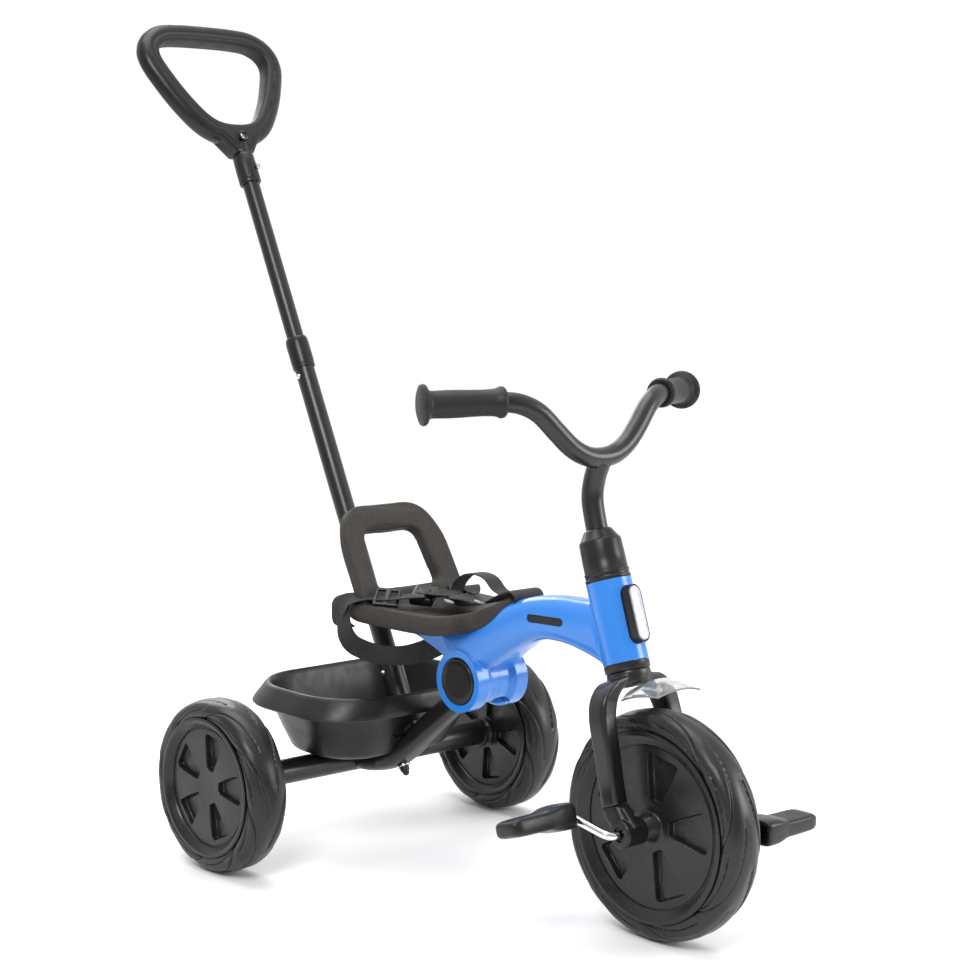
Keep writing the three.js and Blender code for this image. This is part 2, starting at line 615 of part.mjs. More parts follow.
part(tricycle, 'hinge_pin', ringX(-BUTTON_POCKET + GAP, BUTTON_POCKET - GAP, 6, 0, 20)
  .translate(...HUB), BARE_STEEL());
for (const [side, sign] of SIDES) {
  const cap = turnedX([[HUB_HALF - 7, 0], [HUB_HALF - 7, BUTTON_R], [HUB_HALF + 0.6, BUTTON_R],
    [HUB_HALF + 1.6, BUTTON_R - 1.5], [HUB_HALF + 1.6, 0]].map(([x, r]) => [sign * x, r]), 28);
  const collar = ringX(sign * (BUTTON_POCKET + BUTTON_TRAVEL + 1), sign * (HUB_HALF - 6), 22, 19, 20);
  part(tricycle, `hinge_button_${side}`, join(cap, collar).translate(...HUB), BLACK_PLASTIC());
}

// ---- rear frame ---------------------------------------------------------------------------

// The stay runs from the knuckle in the hub down and back to the middle of the axle tube.
const STAY_R = 13.5;
const stayRoute = [vec(0, HUB_Y + 4, HUB_Z - 3), vec(0, -159, 195), vec(0, -121, 163), vec(0, -85, 132),
  vec(0, -57, 112), vec(0, -30, 103.5), vec(0, -4, 101.6)];
// How much wider than deep the stay is, as [share of its length, extra half width].
const STAY_FLARE = [[0, 0], [0.2, 0], [0.4, 4.5], [0.75, 8], [0.9, 14], [1, 15]];

// The stay's solid, grown by a clearance: its depth is constant and it flares sideways to its foot.
function stay(grow) {
  const path = smoothPath(stayRoute);
  const rings = [];
  for (let i = 0; i <= 16; i++) {
    const t = i / 16;
    const k = STAY_FLARE.findIndex(([at]) => at >= t && at > 0);
    const [[t0, w0], [t1, w1]] = [STAY_FLARE[k - 1], STAY_FLARE[k]];
    const flare = w0 + (w1 - w0) * (t - t0) / (t1 - t0);
    const along = path.getTangentAt(t);
    const up = vec(0, -along.z, along.y).setLength(STAY_R + grow);
    rings.push(ovalRing(path.getPointAt(t), STAY_R + flare + grow, up, 2.4, 16));
  }
  return loft(rings);
}

const knuckle = ringX(-KNUCKLE_HALF, KNUCKLE_HALF, KNUCKLE_R, 0, 24).translate(...HUB);
const rearStay = cut(join(stay(0), knuckle),
  ringX(-30, 30, 6.4, 0, 20).translate(...HUB),
  ringX(-40, 40, AXLE_TUBE_R + GAP, 0, 24).translate(...REAR_AXLE));
part(tricycle, 'rear_stay', rearStay, BLACK_STEEL());

const TUBE_END = REAR_TRACK / 2 - REAR_TYRE_W / 2 - 7;
part(tricycle, 'axle_tube', ringX(-TUBE_END, TUBE_END, AXLE_TUBE_R, AXLE_TUBE_R - 2, 24)
  .translate(...REAR_AXLE),
  BLACK_STEEL());
const ROD_END = REAR_TRACK / 2 + REAR_TYRE_W / 2 - 12.6;
part(tricycle, 'axle_rod', ringX(-ROD_END, ROD_END, AXLE_ROD_R, 0, 16).translate(...REAR_AXLE),
  BARE_STEEL());
for (const [side, sign] of SIDES) {
  const collar = turnedX([[TUBE_END - 14, AXLE_ROD_R + GAP], [TUBE_END - 14, AXLE_TUBE_R - 2.3],
    [TUBE_END + GAP, AXLE_TUBE_R - 2.3], [TUBE_END + GAP, 18.5], [TUBE_END + 4.6, 18.5],
    [TUBE_END + 4.6, 12],
    [TUBE_END + 6.6, 12], [TUBE_END + 6.6, AXLE_ROD_R + GAP]].map(([x, r]) => [sign * x, r]), 20);
  part(tricycle, `axle_collar_${side}`, collar.translate(...REAR_AXLE), BLACK_PLASTIC());
}

// ---- push handle, along its own axis from the floor of its socket -------------------------

const SOCKET_R = 14.4;
const LOWER_TOP = 504;
const COLLAR_LOW = 471;
const COLLAR_HIGH = 512;
const UPPER_LOW = 336;
const NECK = 727;                   // where the grip's clamp starts

const socketPipe = bar(vec(0, 0, -14), vec(0, 0, SOCKET_DEPTH), SOCKET_R, 0, 24);
const socketBore = bar(vec(0, 0, 0), vec(0, 0, SOCKET_DEPTH + 5), LOWER_TUBE_R + GAP, 0, 24);
const inHandleFrame = (geometry) => geometry.translate(...HANDLE_FOOT.map((v) => -v))
  .rotateX(rad(HANDLE_LEAN));
const socket = cut(socketPipe, socketBore, inHandleFrame(stay(GAP)));
part(handleGroup, 'handle_socket', socket, BLACK_STEEL());
part(handleGroup, 'handle_lower_tube', ringZ(GAP, LOWER_TOP, LOWER_TUBE_R, LOWER_TUBE_R - 1.2, 24),
  BLACK_STEEL());
part(handleGroup, 'handle_collar', turnedZ([[COLLAR_LOW, LOWER_TUBE_R + GAP], [COLLAR_LOW, 13.8],
  [COLLAR_LOW + 4, 14.4], [COLLAR_HIGH - 6, 14.4], [COLLAR_HIGH, 13], [COLLAR_HIGH, UPPER_TUBE_R + GAP],
  [LOWER_TOP + GAP, UPPER_TUBE_R + GAP], [LOWER_TOP + GAP, LOWER_TUBE_R + GAP]], 20), BLACK_PLASTIC());
part(handleGroup, 'handle_upper_tube', ringZ(UPPER_LOW, NECK + 57, UPPER_TUBE_R, UPPER_TUBE_R - 1.2, 24),
  BLACK_STEEL());

const snapPin = (radius, z) => turnedX([[-radius - 2.1, 0], [-radius - 1.1, 3], [-radius, 3.2],
  [-radius, 0]], 12)
  .translate(0, 0, z);
part(handleGroup, 'height_snap_pin', snapPin(LOWER_TUBE_R + GAP, COLLAR_LOW - 10), CHROME());
part(handleGroup, 'socket_snap_pin', snapPin(SOCKET_R + GAP, SOCKET_DEPTH - 20), CHROME());

// The D-shaped grip: a core round the hand opening and a rim shell outside it, both in one plane.
const GRIP_TURN = 3;                // degrees the grip leans back past the tube
const GRIP_DEPTH = 25;
const GRIP_SPLIT = 10;              // core's width round the hand opening
const GRIP_WIDTH = 26;              // whole width round the hand opening

// The hand opening, as a smooth loop of [x, height above the neck], half of it given.
const openingHalf = [[16, 84], [37, 94], [57, 120], [74, 152], [84, 181], [74, 198], [44, 205]];
const openingLoop = new THREE.CatmullRomCurve3([...openingHalf,
  ...openingHalf.map(([x, z]) => [-x, z]).reverse()]
  .map(([x, z]) => vec(x, z, 0)), true, 'centripetal');

// The opening's loop, moved outward by a distance.
function openingGrown(distance, Kind = THREE.Shape) {
  const count = 30;
  const points = [];
  for (let i = 0; i < count; i++) {
    const along = openingLoop.getTangentAt(i / count);
    const at = openingLoop.getPointAt(i / count);
    points.push(new THREE.Vector2(at.x + along.y * distance, at.y - along.x * distance));
  }
  return new Kind(points);
}

const standing = (outline, depth) => slab(outline, depth, 4).rotateX(Math.PI / 2).translate(0,
  depth / 2, 0);
const onNeck = (geometry) => geometry.rotateX(-rad(GRIP_TURN)).translate(0, 0, NECK);
const gripHole = standing(openingGrown(0), GRIP_DEPTH + 4);
const coreWeb = standing(polygon([[-11, 52], [11, 52], [55, 108], [-55, 108]]), GRIP_DEPTH);
const core = cut(join(standing(openingGrown(GRIP_SPLIT), GRIP_DEPTH), coreWeb), gripHole);
const rimWeb = standing(polygon([[-13, 40], [13, 40], [69, 112], [-69, 112]]), GRIP_DEPTH - 3);
const rimHole = standing(openingGrown(GRIP_SPLIT + GAP), GRIP_DEPTH + 4);
const rimWebHole = standing(polygon([[-11.4, 51.7], [11.4, 51.7], [55.8, 108], [-55.8, 108]]),
  GRIP_DEPTH + 4);
const rim = cut(join(standing(openingGrown(GRIP_WIDTH), GRIP_DEPTH - 3), rimWeb), rimHole, rimWebHole);
const tubeRoom = ringZ(-60, 60, UPPER_TUBE_R + GAP, 0, 20).translate(0, 0, NECK);
const clampRoom = ringZ(NECK - 60, NECK + 40 + GAP, 16.5, 0, 20);
part(handleGroup, 'grip_core', cut(onNeck(core), tubeRoom), GRIP_RUBBER());
part(handleGroup, 'grip_rim', cut(onNeck(rim), tubeRoom, clampRoom), BLACK_PLASTIC());

const clamp = cut(turnedZ([[NECK, 0], [NECK, 13.8], [NECK + 10, 14], [NECK + 40, 13.6],
  [NECK + 40, 0]], 24),
  tubeRoom);
part(handleGroup, 'neck_clamp', clamp, BLACK_PLASTIC());

part(handleGroup, 'clamp_bolt', bar(vec(7.4, -13.3, NECK + 19), vec(9.3, -16.8, NECK + 19), 4, 0, 12),
  BARE_STEEL());
part(handleGroup, 'grip_screw', bar(vec(0, -GRIP_DEPTH / 2 - 4.5, NECK + 63),
  vec(0, -GRIP_DEPTH / 2 - 1, NECK + 63), 4, 0, 12), BARE_STEEL());

// ---- seat ---------------------------------------------------------------------------------

const SEAT_BACK_LEAN = 30;

// The pan: rings lying flat, from its underside up to the seating face, lifted towards its nose.
function seatPan() {
  const half = [[0, -278], [20, -274], [33, -256], [42, -232], [68, -214], [82, -176], [86, -110],
    [84, -74], [62, -50],
    [0, -44]];
  const middleY = -160;
  const outline = (shrink, height) => {
    const right = half.map(([x, y]) => vec(x * (1 - shrink), middleY + (y - middleY) * (1 - shrink), 0));
    const ring = [...right, ...right.slice(1, -1).reverse().map((p) => vec(-p.x, p.y, 0))];
    for (const p of ring) p.z = height + 0.0045 * Math.max(0, -190 - p.y) ** 2;
    return ring;
  };
  return loft([outline(0.1, 290), outline(0.02, 295), outline(0, 302), outline(0.05, 311),
    outline(0.16, 314),
    outline(0.6, 314)]);
}

// The back: a leaning frame round an opening, its sides wrapped a little forward.
function seatBack() {
  const outer = roundedOutline([[-80, 0, 8], [80, 0, 8], [77, 84, 16], [58, 131, 30], [-58, 131, 30],
    [-77, 84, 16]]);
  outer.holes.push(roundedOutline([[-50, 24, 12], [-43, 98, 14], [43, 98, 14], [50, 24, 12]], THREE.Path));
  const back = slab(outer, 17, 4).rotateX(Math.PI / 2);
  const place = back.attributes.position;
  for (let i = 0; i < place.count; i++) {
    place.setY(i, place.getY(i) - 0.0012 * place.getX(i) ** 2);
  }
  return back.rotateX(-rad(SEAT_BACK_LEAN)).translate(0, -73, 297);
}

part(tricycle, 'seat_shell', cut(join(seatPan(), seatBack()), beam(-0.5)), GRAINED_PLASTIC());

// ---- basket -------------------------------------------------------------------------------

function basket() {
  const level = (z, halfX, y0, y1, corner) => roundedRing(halfX, y0, y1, corner, z, 4);
  const tub = loft([
    level(118.5, 91, -66, 52, 48), level(123, 97, -73, 58, 52), level(178, 124, -98, 74, 66),
    level(180, 147, -117, 91, 80), level(199, 134, -114, 84, 78), level(203.5, 130, -112, 80, 76),
    level(199, 126, -108, 76, 72), level(178, 120.8, -94.8, 70.8, 63), level(125, 93.5, -70, 55, 50),
    level(121.5, 89, -64.5, 50, 47),
  ]);
  return cut(tub, handlePassage(SOCKET_R + 0.8), stay(1.5));
}

// A straight way along the handle's axis, wide enough for the socket.
function handlePassage(radius) {
  return ringZ(-40, 90, radius, 0, 20).rotateX(-rad(HANDLE_LEAN)).translate(...HANDLE_FOOT);
}

part(tricycle, 'basket', basket(), BLACK_PLASTIC());
// The bolt under the stay's foot, square to the stay's underside.
const boltShape = turnedZ([[-12.3, 0], [-12.3, 3], [-9, 5], [-2.3, 5.6], [-2.3, 8], [-0.3, 8],
  [-0.3, 0]], 12);
part(tricycle, 'basket_bolt', boltShape.rotateX(rad(-33)).translate(0, -71.2, 104), BARE_STEEL());

// ---- harness ------------------------------------------------------------------------------

const crotchStrap = polygon([[-210, 319.5], [-256, 337.5], [-256, 340.5], [-210, 322.5]]);
part(tricycle, 'strap_crotch', slabX(crotchStrap, -18, 18), WEBBING());
part(tricycle, 'strap_lap_right', block(-66, -20.5, -150, -116, 315, 318), WEBBING());
part(tricycle, 'strap_lap_left', block(20.5, 66, -150, -116, 315, 318), WEBBING());
part(tricycle, 'harness_buckle', block(-20, 20, -152, -114, 315, 328), BLACK_PLASTIC());
part(tricycle, 'strap_adjuster', block(-60, -34, -147, -119, 318.3, 325), BLACK_PLASTIC());

// Stand on the ground with the origin under the middle.
tricycle.updateMatrixWorld(true);
const bounds = new THREE.Box3().setFromObject(tricycle, true);
const middle = bounds.getCenter(vec(0, 0, 0));
tricycle.position.set(-middle.x, -middle.y, -bounds.min.z);

export default tricycle;
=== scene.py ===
"""Looks for a folding children's tricycle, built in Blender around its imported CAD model."""

import math

import bmesh
import bpy
import numpy as np
from mathutils import Matrix, Vector


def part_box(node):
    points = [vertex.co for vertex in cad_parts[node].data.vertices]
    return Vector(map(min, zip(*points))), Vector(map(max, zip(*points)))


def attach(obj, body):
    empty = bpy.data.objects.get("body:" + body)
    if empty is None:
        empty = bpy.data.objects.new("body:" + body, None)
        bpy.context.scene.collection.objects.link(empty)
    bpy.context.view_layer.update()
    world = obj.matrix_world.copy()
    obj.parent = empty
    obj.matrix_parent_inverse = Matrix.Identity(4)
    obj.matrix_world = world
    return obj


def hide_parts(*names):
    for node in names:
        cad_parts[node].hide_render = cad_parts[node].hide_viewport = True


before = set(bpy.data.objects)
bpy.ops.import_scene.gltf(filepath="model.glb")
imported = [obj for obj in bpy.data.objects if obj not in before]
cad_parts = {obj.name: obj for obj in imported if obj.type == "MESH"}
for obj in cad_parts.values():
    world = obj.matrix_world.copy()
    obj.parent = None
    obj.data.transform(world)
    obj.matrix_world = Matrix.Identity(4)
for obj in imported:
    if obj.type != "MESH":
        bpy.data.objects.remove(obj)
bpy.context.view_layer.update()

# ---- places, in millimetres from the ground under the middle of the rear axle --------------------

MM = 0.001
FRONT_RADIUS, FRONT_BEAD, FRONT_HALF = 125, 99, 25      # of the tyre, of its inner edge, half its width
REAR_RADIUS, REAR_BEAD, REAR_HALF = 101.6, 77, 26
REAR_TRACK_HALF = 220
FRONT_BORE, FRONT_BOSS = 5.1, 34                         # the axle hole, how far out the boss ends
REAR_BORE, REAR_BOSS = 5.3, 26
rod_low, rod_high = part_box("axle_rod")
ORIGIN = Vector((0, (rod_low.y + rod_high.y) / 2, 0))
TO_ROW = Matrix.Translation(ORIGIN) @ Matrix.Scale(MM, 4)


def middle_of(node):
    low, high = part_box(node)
    return ((low + high) / 2 - ORIGIN) / MM


REAR_AXLE = middle_of("axle_rod")
FRONT_AXLE = middle_of("front_tyre")
FRONT_AXLE.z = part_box("front_tyre")[0].z / MM + FRONT_RADIUS
HUB = middle_of("hinge_pin")
RAKE = math.radians(19.3)
LEAN = math.radians(26.6)
HEAD_LOW = 177
HEAD_HIGH = 267
HEAD = Matrix.Translation(FRONT_AXLE) @ Matrix.Rotation(-RAKE, 4, "X")
HANDLE_FOOT = Vector((0, -80.8, 151.3))
HANDLE = Matrix.Translation(HANDLE_FOOT) @ Matrix.Rotation(-LEAN, 4, "X")
SIDES = (("right", -1), ("left", 1))
POCKET_TURN = {"right": math.radians(173), "left": math.radians(7)}
INNER_POCKET_TURN = math.radians(40)

# ---- camera --------------------------------------------------------------------------------------

CAMERA_AIM = Vector((-2.7, -200, 466.1))
CAMERA_DISTANCE = 2485.3
CAMERA_AZIMUTH = math.radians(-43)
CAMERA_ELEVATION = math.radians(7)
CAMERA_ROLL = math.radians(1.2)
CAMERA_LENS = 81.07


def make_camera():
    flat = math.cos(CAMERA_ELEVATION)
    back = Vector((math.sin(CAMERA_AZIMUTH) * flat, -math.cos(CAMERA_AZIMUTH) * flat,
                   math.sin(CAMERA_ELEVATION)))
    right = Vector((0, 0, 1)).cross(back).normalized()
    up = back.cross(right)
    turn = Matrix((right, up, back)).transposed().to_4x4()
    data = bpy.data.cameras.new("camera")
    data.lens = CAMERA_LENS
    data.sensor_width = 36
    camera = bpy.data.objects.new("camera", data)
    camera.matrix_world = (Matrix.Translation(TO_ROW @ (CAMERA_AIM + back * CAMERA_DISTANCE)) @ turn
                           @ Matrix.Rotation(CAMERA_ROLL, 4, "Z"))
    bpy.context.scene.collection.objects.link(camera)
    bpy.context.scene.camera = camera


make_camera()

# ---- mesh helpers: every shape is (points, faces) in millimetres ---------------------------------


def skin(rings, caps=True, loop=False):
    """Rings of the same count of points, joined by quads."""
    count = len(rings[0])
    points = [tuple(p) for ring in rings for p in ring]
    last = len(rings)
    faces = []
    for i in range(last if loop else last - 1):
        a, b = i * count, ((i + 1) % last) * count
        for j in range(count):
            k = (j + 1) % count
            faces.append((a + j, a + k, b + k, b + j))
    if caps and not loop:
        faces.append(tuple(range(count - 1, -1, -1)))
        faces.append(tuple(range((last - 1) * count, last * count)))
    return points, faces


def turned(profile, segments=64):
    """A profile of (x, radius) turned round the X axis, closed on itself or ending on the axis."""
    rings = []
    for x, r in profile:
        rings.append([(x, r * math.sin(t), r * math.cos(t)) for t in np.linspace(0, 2 * math.pi, segments,
                                                                                 False)])
    ends_on_axis = profile[0][1] < 1e-6 and profile[-1][1] < 1e-6
    return skin(rings, caps=False, loop=not ends_on_axis)


def moved(shape, matrix):
    points, faces = shape
    return [tuple(matrix @ Vector(p)) for p in points], faces


UPRIGHT = Matrix.Rotation(-math.pi / 2, 4, "Y")     # turns +X to +Z


def turned_up(profile, segments=64):
    """A profile of (z, radius) turned round the Z axis."""
    return moved(turned(profile, segments), UPRIGHT)


def rod(x0, x1, radius, segments=64):
    """A plain cylinder along the X axis."""
    return turned([(x0, 0), (x0, radius), (x1, radius), (x1, 0)], segments)


def rod_up(z0, z1, radius, segments=64):
    """A plain cylinder along the Z axis."""
    return turned_up([(z0, 0), (z0, radius), (z1, radius), (z1, 0)], segments)


def curve_through(points, per_span=8, closed=False):
    """A Catmull-Rom curve through given points."""
    pts = [Vector(p) for p in points]
    if closed:
        pts = [pts[-1], *pts, pts[0], pts[1]]
    else:
        pts = [2 * pts[0] - pts[1], *pts, 2 * pts[-1] - pts[-2]]
    out = []
    for p0, p1, p2, p3 in zip(pts, pts[1:], pts[2:], pts[3:]):
        for step in range(per_span):
            t = step / per_span
            out.append(0.5 * (2 * p1 + (p2 - p0) * t + (2 * p0 - 5 * p1 + 4 * p2 - p3) * t * t
                              + (3 * p1 - p0 - 3 * p2 + p3) * t ** 3))
    if not closed:
        out.append(pts[-2])
    return out


def bent(points, bend=9, per_bend=8):
    """Straight runs joined by rounded bends."""
    pts = [Vector(p) for p in points]
    out = [pts[0]]
    for before, here, after in zip(pts, pts[1:], pts[2:]):
        start = here + (before - here).normalized() * bend
        end = here + (after - here).normalized() * bend
        for step in range(per_bend + 1):
            t = step / per_bend
            out.append(start * (1 - t) ** 2 + here * 2 * t * (1 - t) + end * t * t)
    out.append(pts[-1])
    return out


def travelling_frames(path, up=None):
    """For each point of a path, its two cross directions, carried along without twist."""
    frames = []
    side = None
    for i in range(len(path)):
        along = (path[min(i + 1, len(path) - 1)] - path[max(i - 1, 0)]).normalized()
        if up is not None:
            side = up.cross(along).normalized()
        elif side is None:
            side = along.orthogonal().normalized()
        else:
            side = (side - along * side.dot(along)).normalized()
        frames.append((side, along.cross(side)))
    return frames


def swept(path, section, up=None):
    """A section, a list of (a, b), carried along a path."""
    return skin([[p + side * a + rise * b for a, b in section]
                 for p, (side, rise) in zip(path, travelling_frames(path, up))])


def circle(radius, sides=24):
    return [(radius * math.cos(t), radius * math.sin(t)) for t in np.linspace(0, 2 * math.pi, sides, False)]


def oval(half_a, half_b, power=2.6, sides=28):
    """Power 2 is an ellipse, more is squarer."""
    out = []
    for t in np.linspace(0, 2 * math.pi, sides, False):
        c, s = math.cos(t), math.sin(t)
        out.append((half_a * math.copysign(abs(c) ** (2 / power), c),
                    half_b * math.copysign(abs(s) ** (2 / power), s)))
    return out


def rounded_box_outline(half_x, y0, y1, corner, per_corner=10, per_side=6):
    """A rounded rectangle as (x, y), with points along its sides too."""
    arcs = []
    for x, y, start in ((half_x, y0, -90), (half_x, y1, 0), (-half_x, y1, 90), (-half_x, y0, 180)):
        cx = x - math.copysign(corner, x)
        cy = y - math.copysign(corner, y - (y0 + y1) / 2)
        turns = [math.radians(start + 90 * i / per_corner) for i in range(per_corner + 1)]
        arcs.append([(cx + corner * math.cos(t), cy + corner * math.sin(t)) for t in turns])
    out = []
    for arc, following in zip(arcs, arcs[1:] + arcs[:1]):
        out += arc
        (ax, ay), (bx, by) = arc[-1], following[0]
        out += [(ax + (bx - ax) * k / per_side, ay + (by - ay) * k / per_side) for k in range(1, per_side)]
    return out


def block(x0, x1, y0, y1, z0, z1):
    return skin([[(x, y, z) for x, y in ((x0, y0), (x1, y0), (x1, y1), (x0, y1))] for z in (z0, z1)])


def rounded(points, per_corner=8, step=5):
    """An outline with rounded corners, each point given as (x, y, corner reach), and no long spans."""
    out = []
    n = len(points)
    for i, (x, y, r) in enumerate(points):
        here = Vector((x, y))
        before = (Vector(points[i - 1][:2]) - here).normalized() * r + here
        after = (Vector(points[(i + 1) % n][:2]) - here).normalized() * r + here
        for k in range(per_corner + 1):
            t = k / per_corner
            out.append(before * (1 - t) ** 2 + here * 2 * t * (1 - t) + after * t * t)
    filled = []
    for a, b in zip(out, out[1:] + out[:1]):
        steps = max(1, int((b - a).length / step))
        filled += [a + (b - a) * k / steps for k in range(steps)]
    return filled


def grown(outline, amount, middle):
    return [p + (p - middle).normalized() * amount for p in outline]


def raw(shape):
    """A loose object in millimetres, with its faces turned outward."""
    mesh = bpy.data.meshes.new("work")
    mesh.from_pydata([tuple(p) for p in shape[0]], [], shape[1])
    work = bmesh.new()
    work.from_mesh(mesh)
    bmesh.ops.remove_doubles(work, verts=work.verts, dist=1e-4)
    bmesh.ops.recalc_face_normals(work, faces=work.faces)
    work.to_mesh(mesh)
    work.free()
    obj = bpy.data.objects.new("work", mesh)
    bpy.context.scene.collection.objects.link(obj)
    return obj


def bake(obj):
    """Applies an object's modifiers."""
    graph = bpy.context.evaluated_depsgraph_get()
    mesh = bpy.data.meshes.new_from_object(obj.evaluated_get(graph))
    obj.modifiers.clear()
    old = obj.data
    obj.data = mesh
    bpy.data.meshes.remove(old)
    return obj


def modified(obj, *steps):
    """Applies modifiers, each given as (type, {settings})."""
    for kind, settings in steps:
        modifier = obj.modifiers.new(kind, kind)
        for key, value in settings.items():
            setattr(modifier, key, value)
    return bake(obj)


def combine(obj, others, operation="DIFFERENCE"):
    tools = [other if isinstance(other, bpy.types.Object) else raw(other) for other in others]
    for tool in tools:
        modifier = obj.modifiers.new("cut", "BOOLEAN")
        modifier.operation = operation
        modifier.object = tool
        modifier.solver = "EXACT"
    bake(obj)
    for tool in tools:
        bpy.data.objects.remove(tool)
    return obj


def fused(shapes, voxel, rounds):
    """Solids run together into one skin, with soft fillets where they meet."""
    obj = raw(shapes[0])
    combine(obj, shapes[1:], "UNION")
    return modified(obj, ("REMESH", {"mode": "VOXEL", "voxel_size": voxel, "use_smooth_shade": True}),
                    ("SMOOTH", {"factor": 0.5, "iterations": rounds}))


def bevelled(obj, width, segments=3):
    return modified(obj, ("BEVEL", {"width": width, "segments": segments, "limit_method": "ANGLE",
                                    "angle_limit": math.radians(35), "harden_normals": False}))


def piece(name, shape, body, material, slot=None, replaces=(), bevel=0, sharp=38):
    """Puts a shape, or a worked object, in the scene as a finished piece riding on a body."""
    obj = shape if isinstance(shape, bpy.types.Object) else raw(shape)
    if bevel:
        bevelled(obj, bevel)
    obj.name = name
    obj.data.name = name
    obj.data.transform(TO_ROW)
    obj.data.materials.clear()
    obj.data.materials.append(material)
    for polygon in obj.data.polygons:
        polygon.use_smooth = True
        polygon.material_index = 0
    obj.data.set_sharp_from_angle(angle=math.radians(sharp))
    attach(obj, body)
    if replaces:
        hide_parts(*replaces)
    return obj


def look(node, shape, body, material, **finish):
    """A piece that stands for one node of the CAD model."""
    return piece(f"{node}_look", shape, body, material, replaces=[node], **finish)


# ---- materials -----------------------------------------------------------------------------------


class Nodes:
    """A material's node tree, with short ways to add and join nodes."""

    def __init__(self, name, **surface):
        self.material = bpy.data.materials.new(name)
        self.material.use_nodes = True
        self.tree = self.material.node_tree
        self.shader = self.tree.nodes["Principled BSDF"]
        for key, value in surface.items():
            self.shader.inputs[key.replace("_", " ")].default_value = value
        self.place = self.tree.nodes.new("ShaderNodeTexCoord").outputs["Object"]

    def add(self, kind, **values):
        node = self.tree.nodes.new(kind)
        for key, value in values.items():
            if key in node.inputs:
                node.inputs[key].default_value = value
            else:
                setattr(node, key, value)
        return node

    def link(self, source, target):
        self.tree.links.new(source, target)

    def noise(self, scale, detail=2.0, stretch=None):
        node = self.add("ShaderNodeTexNoise", Scale=scale, Detail=detail)
        source = self.place
        if stretch:
            mapping = self.add("ShaderNodeMapping")
            mapping.inputs["Scale"].default_value = stretch
            self.link(self.place, mapping.inputs["Vector"])
            source = mapping.outputs["Vector"]
        self.link(source, node.inputs["Vector"])
        return node.outputs["Fac"]

    def cells(self, scale):
        node = self.add("ShaderNodeTexVoronoi", Scale=scale)
        self.link(self.place, node.inputs["Vector"])
        return node.outputs["Distance"]

    def spread(self, source, low, high, to_low, to_high):
        node = self.add("ShaderNodeMapRange")
        for key, value in (("From Min", low), ("From Max", high), ("To Min", to_low), ("To Max", to_high)):
            node.inputs[key].default_value = value
        self.link(source, node.inputs["Value"])
        return node.outputs["Result"]

    def colours(self, source, stops):
        node = self.add("ShaderNodeValToRGB")
        ramp = node.color_ramp
        while len(ramp.elements) < len(stops):
            ramp.elements.new(0.5)
        for element, (at, colour) in zip(ramp.elements, stops):
            element.position = at
            element.color = (*colour, 1)
        self.link(source, node.inputs["Fac"])
        self.link(node.outputs["Color"], self.shader.inputs["Base Color"])

    def roughness(self, source, low, high):
        self.link(self.spread(source, 0.3, 0.7, low, high), self.shader.inputs["Roughness"])

    def bump(self, height, strength, distance):
        node = self.add("ShaderNodeBump", Strength=strength, Distance=distance)
        self.link(height, node.inputs["Height"])
        previous = self.shader.inputs["Normal"].links
        if previous:
            self.link(previous[0].from_socket, node.inputs["Normal"])
        self.link(node.outputs["Normal"], self.shader.inputs["Normal"])


def shade(colour, factor):
    return tuple(min(1, c * factor) for c in colour)


def moulded(name, colour, rough, grain=900, depth=0.00012, **surface):
    """Moulded plastic or rubber: slight flow marks in colour and sheen, and a fine grain."""
    n = Nodes(name, **surface)
    flow = n.noise(9, 3)
    n.colours(flow, [(0.3, shade(colour, 0.92)), (0.7, shade(colour, 1.08))])
    n.roughness(n.noise(60, 4), rough - 0.05, rough + 0.07)
    n.bump(n.noise(grain, 2), 0.35, depth)
    return n.material


def seat_grain():
    """Coarse leather-like grain on the seat moulding."""
    colour = (0.029, 0.0255, 0.0225)
    n = Nodes("seat_plastic", Specular_IOR_Level=0.3)
    n.colours(n.noise(700, 2), [(0.35, shade(colour, 0.72)), (0.65, shade(colour, 1.35))])
    n.roughness(n.noise(14, 3), 0.52, 0.68)
    n.bump(n.cells(1150), 0.55, 0.0005)
    n.bump(n.noise(2600, 2), 0.25, 0.0002)
    return n.material


def powder_coat():
    colour = (0.0095, 0.0088, 0.0083)
    n = Nodes("black_steel", Metallic=0.15, Coat_Weight=0.12, Coat_Roughness=0.2)
    n.colours(n.noise(12, 3), [(0.3, shade(colour, 0.9)), (0.7, shade(colour, 1.12))])
    n.roughness(n.noise(40, 3), 0.30, 0.38)
    n.bump(n.noise(520, 3), 0.25, 0.00012)
    return n.material


def bright_steel(name, colour, rough, brushed):
    n = Nodes(name, Metallic=1.0)
    n.colours(n.noise(25, 3), [(0.3, shade(colour, 0.93)), (0.7, colour)])
    n.roughness(n.noise(180, 4), rough, rough + 0.08)
    n.bump(n.noise(260, 3, stretch=(1, 1, 9) if brushed else None), 0.12, 0.00008)
    return n.material


def blue_shell():
    """Glossy blue moulding: a hint of depth in the colour and a faint ripple in the gloss."""
    colour = (0.024, 0.190, 0.62)
    n = Nodes("blue_plastic", Coat_Weight=0.25, Coat_Roughness=0.08)
    n.colours(n.noise(5, 2), [(0.3, shade(colour, 0.97)), (0.7, shade(colour, 1.04))])
    n.roughness(n.noise(35, 3), 0.20, 0.27)
    n.bump(n.noise(45, 2), 0.06, 0.0004)
    n.bump(n.noise(1500, 2), 0.05, 0.00005)
    return n.material


def foam():
    """Moulded foam tyre: nearly black brown, with a satin skin and tiny pits."""
    colour = (0.0105, 0.0092, 0.0082)
    n = Nodes("foam_tyre", Specular_IOR_Level=0.42)
    n.colours(n.noise(16, 4), [(0.3, shade(colour, 0.85)), (0.7, shade(colour, 1.2))])
    n.roughness(n.noise(22, 3), 0.30, 0.40)
    n.bump(n.noise(1300, 3), 0.3, 0.00015)
    return n.material


